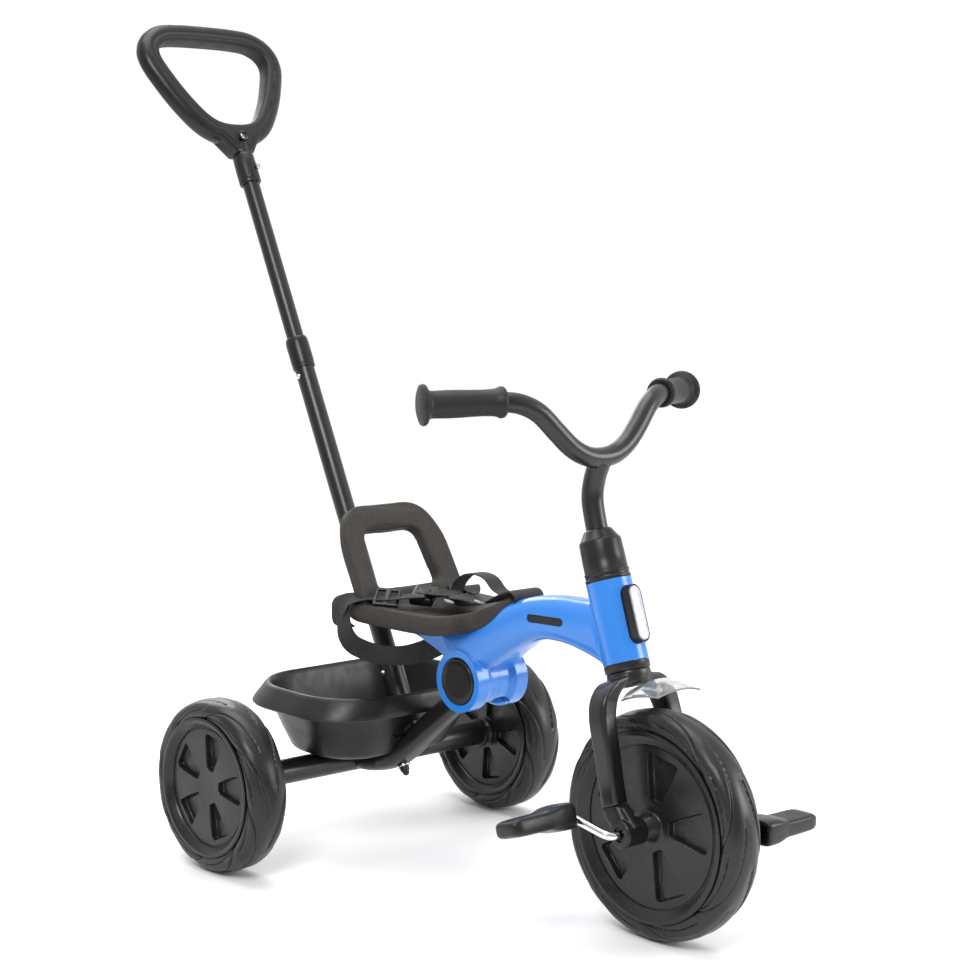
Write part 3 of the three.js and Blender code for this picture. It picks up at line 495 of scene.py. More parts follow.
def weave():
    """Woven webbing: ribs across the strap and yarns along it."""
    colour = (0.011, 0.0105, 0.0105)
    n = Nodes("webbing", Sheen_Weight=0.06, Sheen_Roughness=0.5)
    n.colours(n.cells(1500), [(0.1, shade(colour, 2.6)), (0.6, shade(colour, 0.6))])
    n.roughness(n.noise(30, 2), 0.75, 0.9)
    ribs = n.add("ShaderNodeTexWave", Scale=240.0, Distortion=1.5)
    n.link(n.place, ribs.inputs["Vector"])
    n.bump(ribs.outputs["Fac"], 0.5, 0.0003)
    n.bump(n.cells(1500), 0.5, 0.0003)
    return n.material


def clear_plastic():
    n = Nodes("clear_guard", Base_Color=(0.93, 0.95, 0.96, 1), Roughness=0.06, IOR=1.49,
              Transmission_Weight=0.93, Alpha=1.0)
    n.bump(n.noise(30, 2), 0.05, 0.0005)
    return n.material


def lens_plastic():
    colour = (0.56, 0.55, 0.66)
    n = Nodes("lens", Coat_Weight=0.6, Coat_Roughness=0.05, Transmission_Weight=0.15)
    n.colours(n.cells(420), [(0.0, shade(colour, 1.15)), (0.6, shade(colour, 0.8))])
    n.roughness(n.noise(90, 2), 0.15, 0.24)
    n.bump(n.cells(420), 0.35, 0.0006)
    return n.material


BLUE = blue_shell()
BLACK = moulded("black_plastic", (0.0105, 0.0098, 0.0093), 0.32, grain=800, depth=0.00010,
                Specular_IOR_Level=0.34)
DISC_BLACK = moulded("disc_plastic", (0.0115, 0.0106, 0.0100), 0.28, grain=500, depth=0.00010,
                     Specular_IOR_Level=0.36)
BASKET_BLACK = moulded("basket_plastic", (0.0098, 0.0092, 0.0088), 0.36, grain=650, depth=0.00014,
                       Specular_IOR_Level=0.34)
GRIP = moulded("grip_rubber", (0.0105, 0.0096, 0.0090), 0.5, grain=1200, depth=0.0002,
               Specular_IOR_Level=0.34)
SEAT = seat_grain()
FOAM = foam()
STEEL = powder_coat()
BARE = bright_steel("bare_steel", (0.55, 0.55, 0.54), 0.28, True)
CHROME = bright_steel("chrome", (0.86, 0.86, 0.87), 0.05, False)
PLATE = moulded("strap_plate", (0.32, 0.31, 0.30), 0.3, grain=700, depth=0.0001)
WEBBING = weave()
CLEAR = clear_plastic()
LENS = lens_plastic()

# ---- wheels --------------------------------------------------------------------------------------

TREAD_REPEATS = 8
STEPS_PER_REPEAT = 84
GROOVE_WIDTH = 1.1
GROOVE_DEPTH = 1.6
LEAF_WIDTH = 8.0
LEAF_DEPTH = 0.9
# Grooves on one side of a tyre, as (share of one repeat round the wheel, share of the way from
# the middle of the tread to the bead).
GROOVES = (
    ((0.0, 0.93), (0.06, 0.82), (0.20, 0.66), (0.42, 0.47), (0.72, 0.31), (1.06, 0.20), (1.24, 0.17)),
    ((0.05, 0.88), (0.20, 0.82), (0.44, 0.74), (0.70, 0.68), (0.92, 0.65)),
)


def tyre_outline(radius, bead, half, count=84):
    """Points across a tyre from bead to bead, as (x, radius)."""
    belly = bead + 0.38 * (radius - bead)
    top = radius - belly
    out = []
    for t in np.linspace(0, 1, 9)[:-1]:
        out.append((-half * (0.80 + 0.18 * math.sin(t * math.pi / 2)), bead + (belly - bead) * t))
    for t in np.linspace(0, math.pi, count - 16):
        c, s = math.cos(t), math.sin(t)
        out.append((-0.98 * half * math.copysign(abs(c) ** (2 / 2.5), c),
                    belly + top * abs(s) ** (2 / 2.5)))
    out += [(-x, r) for x, r in reversed(out[:8])]
    return out


def groove_drop(along, across, period, span):
    """How deep the tread lies at points given in millimetres along and across it, unrolled: each groove is
    a fine line with a soft step down on one side."""
    nearest = np.full(along.shape, 1e9) + 0 * across
    inner = np.zeros(nearest.shape)
    for line in GROOVES:
        path = curve_through([(a * period, b * span, 0) for a, b in line], per_span=4)
        for p, q in zip(path, path[1:]):
            d = q - p
            for shift in (-period, 0, period):
                dx = along - (p.x + shift)
                dy = across - p.y
                t = np.clip((dx * d.x + dy * d.y) / (d.length_squared + 1e-9), 0, 1)
                gap = np.hypot(dx - t * d.x, dy - t * d.y)
                closer = gap < nearest
                nearest = np.where(closer, gap, nearest)
                inner = np.where(closer, (dx * d.y - dy * d.x) > 0, inner)
    line = GROOVE_DEPTH * np.exp(-(nearest / GROOVE_WIDTH) ** 2)
    return line + inner * LEAF_DEPTH * np.exp(-(nearest / LEAF_WIDTH) ** 2)


def tyre(radius, bead, half, sense):
    outline = np.array(tyre_outline(radius, bead, half))
    steps = np.hypot(*np.diff(outline, axis=0).T)
    place = np.concatenate([[0], np.cumsum(steps)])
    span = place[-1] / 2
    across = np.abs(place - span)
    period = 2 * math.pi * radius / TREAD_REPEATS
    along = np.arange(STEPS_PER_REPEAT) * period / STEPS_PER_REPEAT
    right = groove_drop(along[:, None], across[None, :], period, span)
    left = groove_drop(((along + period / 2) % period)[:, None], across[None, :], period, span)
    drop = np.where(place[None, :] < span, right, left)
    tangent = np.gradient(outline, axis=0)
    normal = np.stack([-tangent[:, 1], tangent[:, 0]], 1)
    normal /= np.linalg.norm(normal, axis=1)[:, None]
    rings = []
    for i in range(STEPS_PER_REPEAT * TREAD_REPEATS):
        turn = sense * 2 * math.pi * i / (STEPS_PER_REPEAT * TREAD_REPEATS)
        x = outline[:, 0] - normal[:, 0] * drop[i % STEPS_PER_REPEAT]
        r = outline[:, 1] - normal[:, 1] * drop[i % STEPS_PER_REPEAT]
        rings.append(np.stack([x, r * math.sin(turn), r * math.cos(turn)], 1))
    return skin(rings, caps=False, loop=True)


def disc_pocket(side, face, reach, turn):
    """The room of one pocket in a wheel disc: a trapezoid with eased edges."""
    outline = rounded(((0.30 * reach, -0.08 * reach, 3), (0.88 * reach, -0.255 * reach, 6),
                       (0.88 * reach, 0.255 * reach, 6), (0.30 * reach, 0.08 * reach, 3)))
    middle = Vector((0.64 * reach, 0))
    c, s = math.cos(turn), math.sin(turn)
    rings = []
    for depth, growth in ((4, 2.6), (0.9, 1.3), (0, 0.5), (-0.9, 0.1), (-2, 0), (-6, -0.4), (-7, -1.2),
                          (-7.3, -2.4)):
        rings.append([(side * (face + depth), p.x * c - p.y * s, p.x * s + p.y * c)
                      for p in grown(outline, growth, middle)])
    return skin(rings)


def disc(side, bead, half, bore, boss_end, phase):
    """One half of a wheel disc: sloped rim ring, fine joint line, face with pockets, boss with its bore."""
    ring_in = bead - 0.105 * bead
    face = half - 7.5
    rim = [(half - 0.2, bead + 4.6), (half + 0.7, bead + 3.0), (half + 0.6, bead + 0.8),
           (half - 0.2, bead - 1.0)]
    slope = [(half - 0.2 + (face + 0.8 - half + 0.2) * t, bead - 1 + (ring_in + 0.8 - bead + 1) * t)
             for t in np.linspace(0, 1, 5)[1:]]
    line = [(face - 0.8, ring_in + 0.4), (face - 0.8, ring_in - 0.5), (face, ring_in - 1.0)]
    hub = max(bore + 9, 0.17 * bead)
    flat = [(face + 0.9 * math.sin((r - hub) / (ring_in - hub) * math.pi), r)
            for r in np.linspace(ring_in - 1.8, hub + 1, 12)]
    if boss_end > face:
        middle = [(face + 0.6, hub), (face + 2.4, hub - 1), (boss_end - 1, bore + 6), (boss_end, bore + 5),
                  (boss_end, bore)]
    else:
        middle = [(face, hub * 0.5), (face, bore)]
    inside = [(0.15, bore), (0.15, bead - 0.8), (half * 0.8 + 0.9, bead - 0.8),
              (half * 0.8 + 2.4, bead + 2)]
    obj = raw(turned([(side * x, r) for x, r in inside + rim + slope + line + flat + middle], 180))
    return combine(obj, [disc_pocket(side, face, ring_in, phase + 2 * math.pi * k / 5) for k in range(5)])


def make_wheels():
    at_front = Matrix.Translation(FRONT_AXLE)
    shape = moved(tyre(FRONT_RADIUS, FRONT_BEAD, FRONT_HALF, 1), at_front)
    look("front_tyre", shape, "front_wheel", FOAM, sharp=60)
    for name, side in SIDES:
        obj = placed(disc(side, FRONT_BEAD, FRONT_HALF, FRONT_BORE, FRONT_BOSS, POCKET_TURN[name]),
                     at_front)
        look(f"front_disc_{name}", obj, "front_wheel", DISC_BLACK)
    for name, side in SIDES:
        at = Matrix.Translation(REAR_AXLE + Vector((side * REAR_TRACK_HALF, 0, 0)))
        body = f"rear_wheel_{name}"
        shape = moved(tyre(REAR_RADIUS, REAR_BEAD, REAR_HALF, -1), at)
        look(f"rear_tyre_{name}", shape, body, FOAM, sharp=60)
        outer = placed(disc(side, REAR_BEAD, REAR_HALF, 0, 0, POCKET_TURN[name]), at)
        look(f"rear_disc_outer_{name}", outer, body, DISC_BLACK)
        inner = placed(disc(-side, REAR_BEAD, REAR_HALF, REAR_BORE, REAR_BOSS, INNER_POCKET_TURN), at)
        look(f"rear_disc_inner_{name}", inner, body, DISC_BLACK)


# ---- cranks and pedals ---------------------------------------------------------------------------

CRANK = 53
CRANK_TURN = math.radians(16)
PEDAL_IN = 96
PEDAL_OUT = 184


def spindle_place(side):
    return FRONT_AXLE + Vector((0, -side * math.cos(CRANK_TURN) * CRANK,
                                -side * math.sin(CRANK_TURN) * CRANK))


def pedal(side):
    """A tall block with an open mouth at its inner end, stepping down to a flat tread with fine ribs."""
    stations = ((PEDAL_IN, 17, 12), (PEDAL_IN + 1.5, 19.4, 14), (PEDAL_IN + 6, 20.4, 14.6),
                (PEDAL_IN + 18, 20.4, 14.3), (PEDAL_IN + 25, 20, 13.2), (PEDAL_IN + 32, 19.3, 11.2),
                (PEDAL_IN + 40, 19, 10.3), (PEDAL_OUT - 16, 18.4, 9.9), (PEDAL_OUT - 6, 17, 9),
                (PEDAL_OUT - 1.5, 14.5, 7), (PEDAL_OUT, 12, 5))
    path = curve_through(stations, per_span=5)
    rings = [[(side * x, a, b) for a, b in oval(y, z, 4.6, 40)] for x, y, z in path]
    obj = raw(skin(rings))
    mouth = [[(side * x, a, b) for a, b in oval(y, z, 4.6, 32)]
             for x, y, z in ((PEDAL_IN - 1, 16.8, 11.4), (PEDAL_IN + 13, 14, 9))]
    spindle_room = rod(side * (PEDAL_IN + 5), side * (PEDAL_OUT - 5), 5.2, 32)
    tools = [skin(mouth), spindle_room]
    for k in range(8):
        x0, x1 = sorted((side * (PEDAL_IN + 40 + 4.4 * k), side * (PEDAL_IN + 41.3 + 4.4 * k)))
        for face in (-1, 1):
            low, high = sorted((face * 9.1, face * 16))
            tools.append(block(x0, x1, -12, 12, low, high))
    return combine(obj, tools)


def make_cranks():
    def at(x, along):
        return (x, FRONT_AXLE.y + math.cos(CRANK_TURN) * CRANK * along,
                FRONT_AXLE.z + math.sin(CRANK_TURN) * CRANK * along)
    route = [at(-PEDAL_OUT + 6, 1), at(-PEDAL_IN + 6, 1), at(-80, 0), at(80, 0), at(PEDAL_IN - 6, -1),
             at(PEDAL_OUT - 6, -1)]
    look("crank_rod", swept(bent(route, 11, 10), circle(4.7, 28)), "front_wheel", CHROME)
    for name, side in SIDES:
        obj = pedal(side)
        tilt = Matrix.Rotation(math.radians(-18 if side < 0 else 0), 4, "X")
        obj.data.transform(Matrix.Translation(spindle_place(side)) @ tilt)
        look(f"pedal_{name}", obj, f"pedal_{name}", BLACK, bevel=0.5)


# ---- fork, bars and guard ------------------------------------------------------------------------

CROWN = 150
LEG_FOOT = 30


def fork():
    shapes = [skin([[(a, b, z) for a, b in oval(31, 15, 3, 40)] for z in (CROWN - 0.5, CROWN + 10)])]
    for side in (-1, 1):
        stations = ((CROWN + 11, 10, 0, 13, 17), (CROWN + 9, 22, 0, 14, 16.6),
                    (CROWN + 2, 34, 0.4, 13.5, 15.2), (CROWN - 10, 45, 1.2, 12.5, 13.8),
                    (CROWN - 28, 50.6, 3, 11.4, 12.8), (CROWN - 46, 52, 4, 11, 12.4),
                    (80, 52, 6, 10.5, 12.2), (55, 51.5, 9.5, 10.5, 12), (LEG_FOOT, 50, 13, 10.5, 12))
        fine = []
        for (x, y, z), (a, b, _) in zip(curve_through([(s[1], s[2], s[0]) for s in stations], 5),
                                        curve_through([(s[3], s[4], 0) for s in stations], 5)):
            fine.append([(side * x + p, y + q, z) for p, q in oval(a, b, 5, 36)])
        shapes.append(skin(fine))
    neck = turned_up([(CROWN + 1, 0), (CROWN + 1, 21), (CROWN + 5, 23), (HEAD_LOW - 14, 24.4),
                      (HEAD_LOW - 9.6, 24.4), (HEAD_LOW - 9.6, 0)])
    obj = fused([neck] + shapes, 1.3, 5)
    trim = [rod_up(HEAD_LOW - 10, HEAD_LOW + 9, 40), rod_up(CROWN - 20, HEAD_LOW + 5, 12.3),
            block(-90, 90, -20, 45, LEG_FOOT - 30, LEG_FOOT + 0.4)]
    return combine(obj, trim)


def dropout(side):
    """The moulded foot of a fork leg: a socket round the leg, a boss for the axle and a rib between them."""
    boss = turned([(side * 35, 0), (side * 35, 13.4), (side * 36.5, 15), (side * 64, 15), (side * 66, 13.4),
                   (side * 66, 0)], 56)
    web = []
    for z, y, half_x, half_y in ((0, 1, 12, 12.5), (8, 4.5, 11.5, 12.5), (17, 8.6, 11.2, 12.6),
                                 (25, 11.4, 11, 12.8), (LEG_FOOT - 0.4, 13, 11, 12.8)):
        web.append([(side * 50 + a, y + b, z) for a, b in oval(half_x, half_y, 5, 36)])
    rib = []
    for z, y in ((4, -13), (12, -8.5), (21, -3.5), (27, -0.5)):
        rib.append([(side * 52 + a, y + b, z) for a, b in oval(5.5, 4.5, 3, 24)])
    obj = fused([boss, skin(web), skin(rib)], 0.9, 4)
    axle_room = rod(side * 30, side * 70, FRONT_BORE, 40)
    recess = rod(side * 63.5, side * 70, 8.2, 40)
    return combine(obj, [axle_room, recess])


def bar_collar():
    z = HEAD_HIGH
    return turned_up([(z + 0.3, 13), (z + 0.3, 24.9), (z + 0.9, 25.4), (z + 3.2, 25.4), (z + 3.8, 24.7),
                      (z + 4.6, 24.4), (z + 7.8, 24.4), (z + 8.4, 25), (z + 10, 25), (z + 10.8, 24.2),
                      (z + 26, 23.9), (z + 43, 23.4), (z + 45.2, 22.9), (z + 46.2, 21.6), (z + 55.4, 15.9),
                      (z + 56.6, 14.8), (z + 57, 14), (z + 57, 12.5), (z + 43.6, 12.5), (z + 41, 13)], 96)


def headset_cover():
    """The dark ring that covers the lower bearing, between the head and the fork's crown."""
    z = HEAD_LOW
    return turned_up([(z - 9.7, 12.4), (z - 9.7, 24.6), (z - 9.1, 25.2), (z - 1.1, 25.3), (z - 0.5, 24.7),
                      (z - 0.5, 17.6), (z - 3.3, 17.6), (z - 3.3, 12.4)], 96)


def handlebar():
    half = ((201, -323, 571), (162, -342.2, 572.3), (124, -361, 573.5), (104, -370, 571), (84, -377, 561),
            (63, -382.4, 541), (43, -385.6, 523.5), (22, -387.6, 513))
    points = [(-x, y, z) for x, y, z in half] + [(0, -388, 510)] + [p for p in reversed(half)]
    bars = swept(curve_through(points, 8), circle(11.2, 32), up=Vector((0, 1, 0.01)))
    dip = HEAD.inverted() @ Vector((0, -388, 510))
    stem_points = [HEAD @ Vector(p) for p in ((0, 0, HEAD_HIGH + 42), (0, 0, HEAD_HIGH + 66),
                                              (0, -3, HEAD_HIGH + 92), (0, -13, HEAD_HIGH + 112),
                                              (0, dip.y, dip.z - 2))]
    stem = swept(curve_through(stem_points, 8), circle(12.2, 32))
    return fused([bars, stem], 1.1, 3)


def grip(side):
    inner = Vector((side * 121, -362.5, 573.6))
    outer = Vector((side * 201, -323, 571))
    length = (outer - inner).length
    profile = [(length + 1, 0), (length + 1, 11.7), (0, 11.7), (0, 15), (1, 16.2), (3, 17), (5.4, 17),
               (7.2, 16.3), (9.6, 15.2), (14, 14.5), (24, 14.1), (36, 14.3), (50, 14.8), (62, 15),
               (length - 11, 14.6), (length - 8, 14.8), (length - 5.6, 16.2), (length - 4, 19.2),
               (length - 3, 21), (length - 1.6, 22), (length + 0.6, 22.2), (length + 2.2, 21.2),
               (length + 3.8, 17), (length + 4.8, 11), (length + 5.2, 0)]
    turn = Vector((0, 0, 1)).rotation_difference(outer - inner).to_matrix().to_4x4()
    return moved(turned_up(profile, 72), Matrix.Translation(inner) @ turn)


GUARD_RIDGE = ((4, 146.4, 30), (9, 149.5, 33.5), (14, 154.5, 34), (19, 157, 34), (23, 156, 33.5),
               (27, 151, 33))


def tyre_guard():
    """A thin clear visor, domed over the tyre and dipping to a lip in front of the fork."""
    faces = []
    for lift in (0, 2.2):
        grid = []
        for turn, ridge, half in curve_through(GUARD_RIDGE, 5):
            edge = 136 + 0.45 * (turn - 4)
            row = []
            for x in np.linspace(-1, 1, 29):
                r = ridge - (ridge - edge) * abs(x) ** 2.2 + lift
                row.append((x * half, -r * math.sin(math.radians(turn)), r * math.cos(math.radians(turn))))
            grid.append(row)
        faces.append(grid)
    rings = [low + high[::-1] for low, high in zip(*faces)]
    return skin(rings)


def make_steering():
    look("fork", placed(fork(), HEAD), "steering", STEEL, sharp=35)
    for name, side in SIDES:
        look(f"dropout_{name}", placed(dropout(side), HEAD), "steering", BLACK, sharp=35)
        look(f"grip_{name}", grip(side), "steering", GRIP, sharp=30)
    piece("headset_cover", moved(headset_cover(), HEAD), "steering", BLACK, sharp=45)
    look("bar_collar", moved(bar_collar(), HEAD), "steering", BLACK, sharp=45)
    look("handlebar", handlebar(), "steering", STEEL, sharp=50)
    look("tyre_guard", moved(tyre_guard(), HEAD), "steering", CLEAR, sharp=50)


def placed(obj, matrix):
    obj.data.transform(matrix)
    return obj


# ---- main frame ----------------------------------------------------------------------------------

HUB_R = 36
HUB_HALF = 39
BUTTON_R = 27
# Beam stations from the head back to the wing under the seat: (top y, z), (bottom y, z), half width.
BEAM = (
    ((-398, 353), (-420, 284), 23), ((-370, 352), (-390, 293), 22.5), ((-338, 351), (-351, 300), 24),
    ((-302, 346), (-310, 297), 27), ((-268, 335), (-270, 275), 31), ((-236, 316), (-236, 250), 36),
    ((-206, 300), (-204, 240), 38), ((-170, 291), (-172, 262), 42), ((-128, 286), (-130, 279), 40),
)
INLAY_TILT = Matrix.Translation((0, -333, 325)) @ Matrix.Rotation(math.radians(-2), 4, "X")


def beam(inset=0.0):
    tops = curve_through([(half, *top) for top, _, half in BEAM], 5)
    bottoms = curve_through([(half, *bottom) for _, bottom, half in BEAM], 5)
    rings = []
    for top, bottom in zip(tops, bottoms):
        high, low = Vector((0, top.y, top.z)), Vector((0, bottom.y, bottom.z))
        up = (high - low) / 2
        reach = max(up.length - inset, 0.8)
        up = up.normalized()
        centre = (high + low) / 2
        rings.append([centre + Vector((a, 0, 0)) + up * b for a, b in oval(top.x - inset, reach, 3.1, 44)])
    return skin(rings)


def pill(half_y, half_z, x0, x1, matrix, steps=10):
    """A flat rod with round ends, from x0 to x1."""
    outline = []
    for end, start in ((1, -90), (-1, 90)):
        for k in range(steps + 1):
            t = math.radians(start + 180 * k / steps)
            outline.append((end * (half_y - half_z) + half_z * math.cos(t), half_z * math.sin(t)))
    return moved(skin([[(x, y, z) for y, z in outline] for x in (x0, x1)]), matrix)


def head_pill(half, low, high, y0, y1):
    """The reflector's outline on the front of the head, from y0 to y1 along the head's own depth."""
    turn = Matrix.Rotation(math.pi / 2, 4, "Z") @ Matrix.Rotation(math.pi / 2, 4, "X")
    at = HEAD @ Matrix.Translation((0, 0, (low + high) / 2)) @ turn
    return pill((high - low) / 2, half, y0, y1, at)


def frame_body():
    spool = turned([(-HUB_HALF - 3, 0), (-HUB_HALF - 3, HUB_R), (-20, HUB_R), (-15, 30.5), (15, 30.5),
                    (20, HUB_R), (HUB_HALF + 3, HUB_R), (HUB_HALF + 3, 0)], 96)
    head = rod_up(HEAD_LOW - 4, HEAD_HIGH + 4, 25.4, 96)
    body = fused([beam(), moved(spool, Matrix.Translation(HUB)), moved(head, HEAD)], 1.35, 7)
    at_hub = Matrix.Translation(HUB)
    tools = [
        moved(rod_up(HEAD_LOW - 30, HEAD_LOW, 60), HEAD),
        moved(rod_up(HEAD_HIGH, HEAD_HIGH + 30, 60), HEAD),
        moved(rod_up(HEAD_LOW - 5, HEAD_HIGH + 5, 17.3), HEAD), moved(rod(-16, 16, 22), at_hub),
        moved(rod(-30, 30, 6.3), at_hub), head_pill(10.6, HEAD_LOW + 15.4, HEAD_HIGH - 9.4, -21, -60),
        pill(26.6, 4.6, -60, -15, INLAY_TILT), pill(26.6, 4.6, 15, 60, INLAY_TILT),
    ]
    for side in (-1, 1):
        tools.append(moved(rod(side * HUB_HALF, side * 60, 80), at_hub))
        tools.append(moved(turned([(side * 24, 0), (side * 24, BUTTON_R + 0.5), (side * 38, BUTTON_R + 0.5),
                                   (side * 39.5, BUTTON_R + 1.6), (side * 50, BUTTON_R + 1.6),
                                   (side * 50, 0)]), at_hub))
    slot = []
    for turn, r in ((0, 0), (6, 34), (-10, 60), (-45, 80), (-90, 80), (-124, 60)):
        slot.append((r * math.cos(math.radians(turn)), r * math.sin(math.radians(turn))))
    tools.append(moved(skin([[(x, y, z) for y, z in slot] for x in (-17, 17)]), at_hub))
    window_turn = Matrix.Rotation(math.radians(50), 4, "X") @ Matrix.Rotation(math.pi / 2, 4, "Z")
    tools.append(moved(pill(12, 4.6, 12, 60, Matrix.Identity(4)),
                       at_hub @ Matrix.Translation((10, 0, 0)) @ window_turn @ Matrix.Scale(-1, 4,
                                                                                            (1, 0, 0))))
    spine = [(0, -410, 326), (0, -350, 327), (0, -300, 320), (0, -266, 302), (0, -232, 268)]
    tools.append(swept(curve_through(spine, 6), circle(11.6, 20)))
    return combine(body, tools)


SEAM_HALF = 0.15


def frame_half(body, side):
    """One half of the moulding. It is cut just off the middle, so the seam shows as a line, and its open
    rim and any hole the cut leaves are filled."""
    half = bpy.data.objects.new("half", body.data.copy())
    bpy.context.scene.collection.objects.link(half)
    work = bmesh.new()
    work.from_mesh(half.data)
    bmesh.ops.bisect_plane(work, geom=work.verts[:] + work.edges[:] + work.faces[:], dist=1e-5,
                           plane_co=(side * SEAM_HALF, 0, 0), plane_no=(-side, 0, 0), clear_outer=True)
    bmesh.ops.remove_doubles(work, verts=work.verts, dist=0.003)
    seam = side * SEAM_HALF
    rim = [e for e in work.edges if e.is_boundary and all(abs(v.co.x - seam) < 0.02 for v in e.verts)]
    bmesh.ops.triangle_fill(work, use_beauty=True, use_dissolve=False, edges=rim)
    gaps = [e for e in work.edges if e.is_boundary]
    bmesh.ops.holes_fill(work, edges=gaps, sides=0)
    bmesh.ops.recalc_face_normals(work, faces=work.faces)
    work.to_mesh(half.data)
    work.free()
    return half


def inlay(side):
    """A bar that follows the beam's side, its face just under the moulding's."""
    inner, outer = sorted((side * 15, side * 60))
    skin_of_beam = combine(raw(beam(0.7)), [beam(2.6)])
    return combine(raw(pill(26, 4, inner, outer, INLAY_TILT)), [skin_of_beam], "INTERSECT")


def make_main_frame():
    body = frame_body()
    for name, side in SIDES:
        look(f"frame_shell_{name}", frame_half(body, side), "main_frame", BLUE, sharp=32)
        look(f"beam_inlay_{name}", inlay(side), "main_frame", BLACK)
        rings = [(HUB_HALF - 6, 0), (HUB_HALF - 6, BUTTON_R - 0.4), (HUB_HALF - 0.4, BUTTON_R - 0.3),
                 (HUB_HALF + 0.9, BUTTON_R - 0.7), (HUB_HALF + 1.6, BUTTON_R - 1.8),
                 (HUB_HALF + 1.5, BUTTON_R - 3.2), (HUB_HALF + 0.9, BUTTON_R - 4.2),
                 (HUB_HALF + 0.8, BUTTON_R - 9), (HUB_HALF + 0.3, BUTTON_R - 16), (HUB_HALF, 0)]
        button = moved(turned([(side * x, r) for x, r in rings], 96), Matrix.Translation(HUB))
        look(f"hinge_button_{name}", button, f"hinge_button_{name}", DISC_BLACK, sharp=50)
    bpy.data.objects.remove(body)
    bezel = raw(head_pill(10, HEAD_LOW + 16, HEAD_HIGH - 10, -21.4, -35))
    combine(bezel, [head_pill(8.2, HEAD_LOW + 17.8, HEAD_HIGH - 11.8, -30, -40)])
    look("reflector_bezel", bezel, "main_frame", BLACK, bevel=0.8)
    lens = raw(head_pill(7.9, HEAD_LOW + 18.1, HEAD_HIGH - 12.1, -30.3, -36))
    look("reflector_lens", lens, "main_frame", LENS, bevel=1.2)


# ---- rear frame ----------------------------------------------------------------------------------

STAY_R = 13.5
STAY = ((0, -204, 233), (0, -159, 195), (0, -121, 163), (0, -85, 132), (0, -57, 112), (0, -30, 103.5),
        (0, -4, 101.6))
# How much wider than deep the stay is: (shares of its length), (extra half widths).
STAY_FLARE = ((0, 0.24, 0.42, 0.75, 0.9, 1), (0, 0, 4.5, 8, 14, 15))
TUBE_END = 187
SOCKET_R = 14.4
SOCKET_DEPTH = 92
BASKET_BOLT = Matrix.Translation((0, -71.2, 104)) @ Matrix.Rotation(math.radians(-33), 4, "X")


def stay(grow):
    """The stay's solid, grown by a clearance: its depth is constant and it flares sideways to its foot."""
    path = curve_through(STAY, 10)
    rings = []
    for i, p in enumerate(path):
        along = path[min(i + 1, len(path) - 1)] - path[max(i - 1, 0)]
        up = Vector((0, -along.z, along.y)).normalized() * (STAY_R + grow)
        flare = np.interp(i / (len(path) - 1), *STAY_FLARE)
        rings.append([p + Vector((a, 0, 0)) + up * b for a, b in oval(STAY_R + flare + grow, 1, 2.8, 44)])
    return skin(rings)


def rear_stay():
    knuckle = moved(turned([(-15, 0), (-15, 18.6), (-13.6, 20), (13.6, 20), (15, 18.6), (15, 0)], 64),
                    Matrix.Translation(HUB))
    obj = fused([stay(0), knuckle], 1.2, 3)
    combine(obj, [moved(rod(-30, 30, 6.4), Matrix.Translation(HUB)),
                  moved(rod(-40, 40, 15.3), Matrix.Translation(REAR_AXLE)),
                  moved(rod_up(0, 60, SOCKET_R + 0.2), HANDLE)])
    return obj


def basket():
    """An open tub with a skirted rim, notched at the front for the stay."""
    levels = ((118.5, 86, -61, 47, 44), (119.2, 91, -66, 52, 48), (121.4, 95, -70.5, 56, 51),
              (126, 98.5, -75, 59.5, 53), (150, 111, -86, 67, 60), (176, 123.6, -97.4, 73.6, 66),
              (178.6, 127, -100, 76, 68), (178.2, 141, -112, 86, 76), (178.6, 146, -116, 90, 79),
              (180.4, 147.4, -117.2, 91, 80), (186, 144.4, -116.4, 89, 79.4),
              (194, 138, -115, 86, 78.6), (200, 134, -113.8, 83.4, 78), (203, 131.4, -112.2, 81.2, 76.6),
              (203.6, 129, -110.6, 79, 75), (202.2, 127.2, -109, 77.4, 73.4), (196, 125, -106, 75.4, 71),
              (178, 120.6, -94.6, 70.6, 63), (150, 108, -83, 64, 57), (130, 97, -73.4, 57.8, 51.6),
              (124, 92.6, -69, 53.4, 48.4), (121.6, 87.5, -63.6, 48.6, 45))
    rings = [[(x, y, z) for x, y in rounded_box_outline(half, y0, y1, corner)] for z, half, y0, y1,
             corner in levels]
    obj = raw(skin(rings))
    passage = moved(rod_up(-40, 90, SOCKET_R + 0.8, 40), HANDLE)
    return combine(obj, [passage, stay(1.4)])


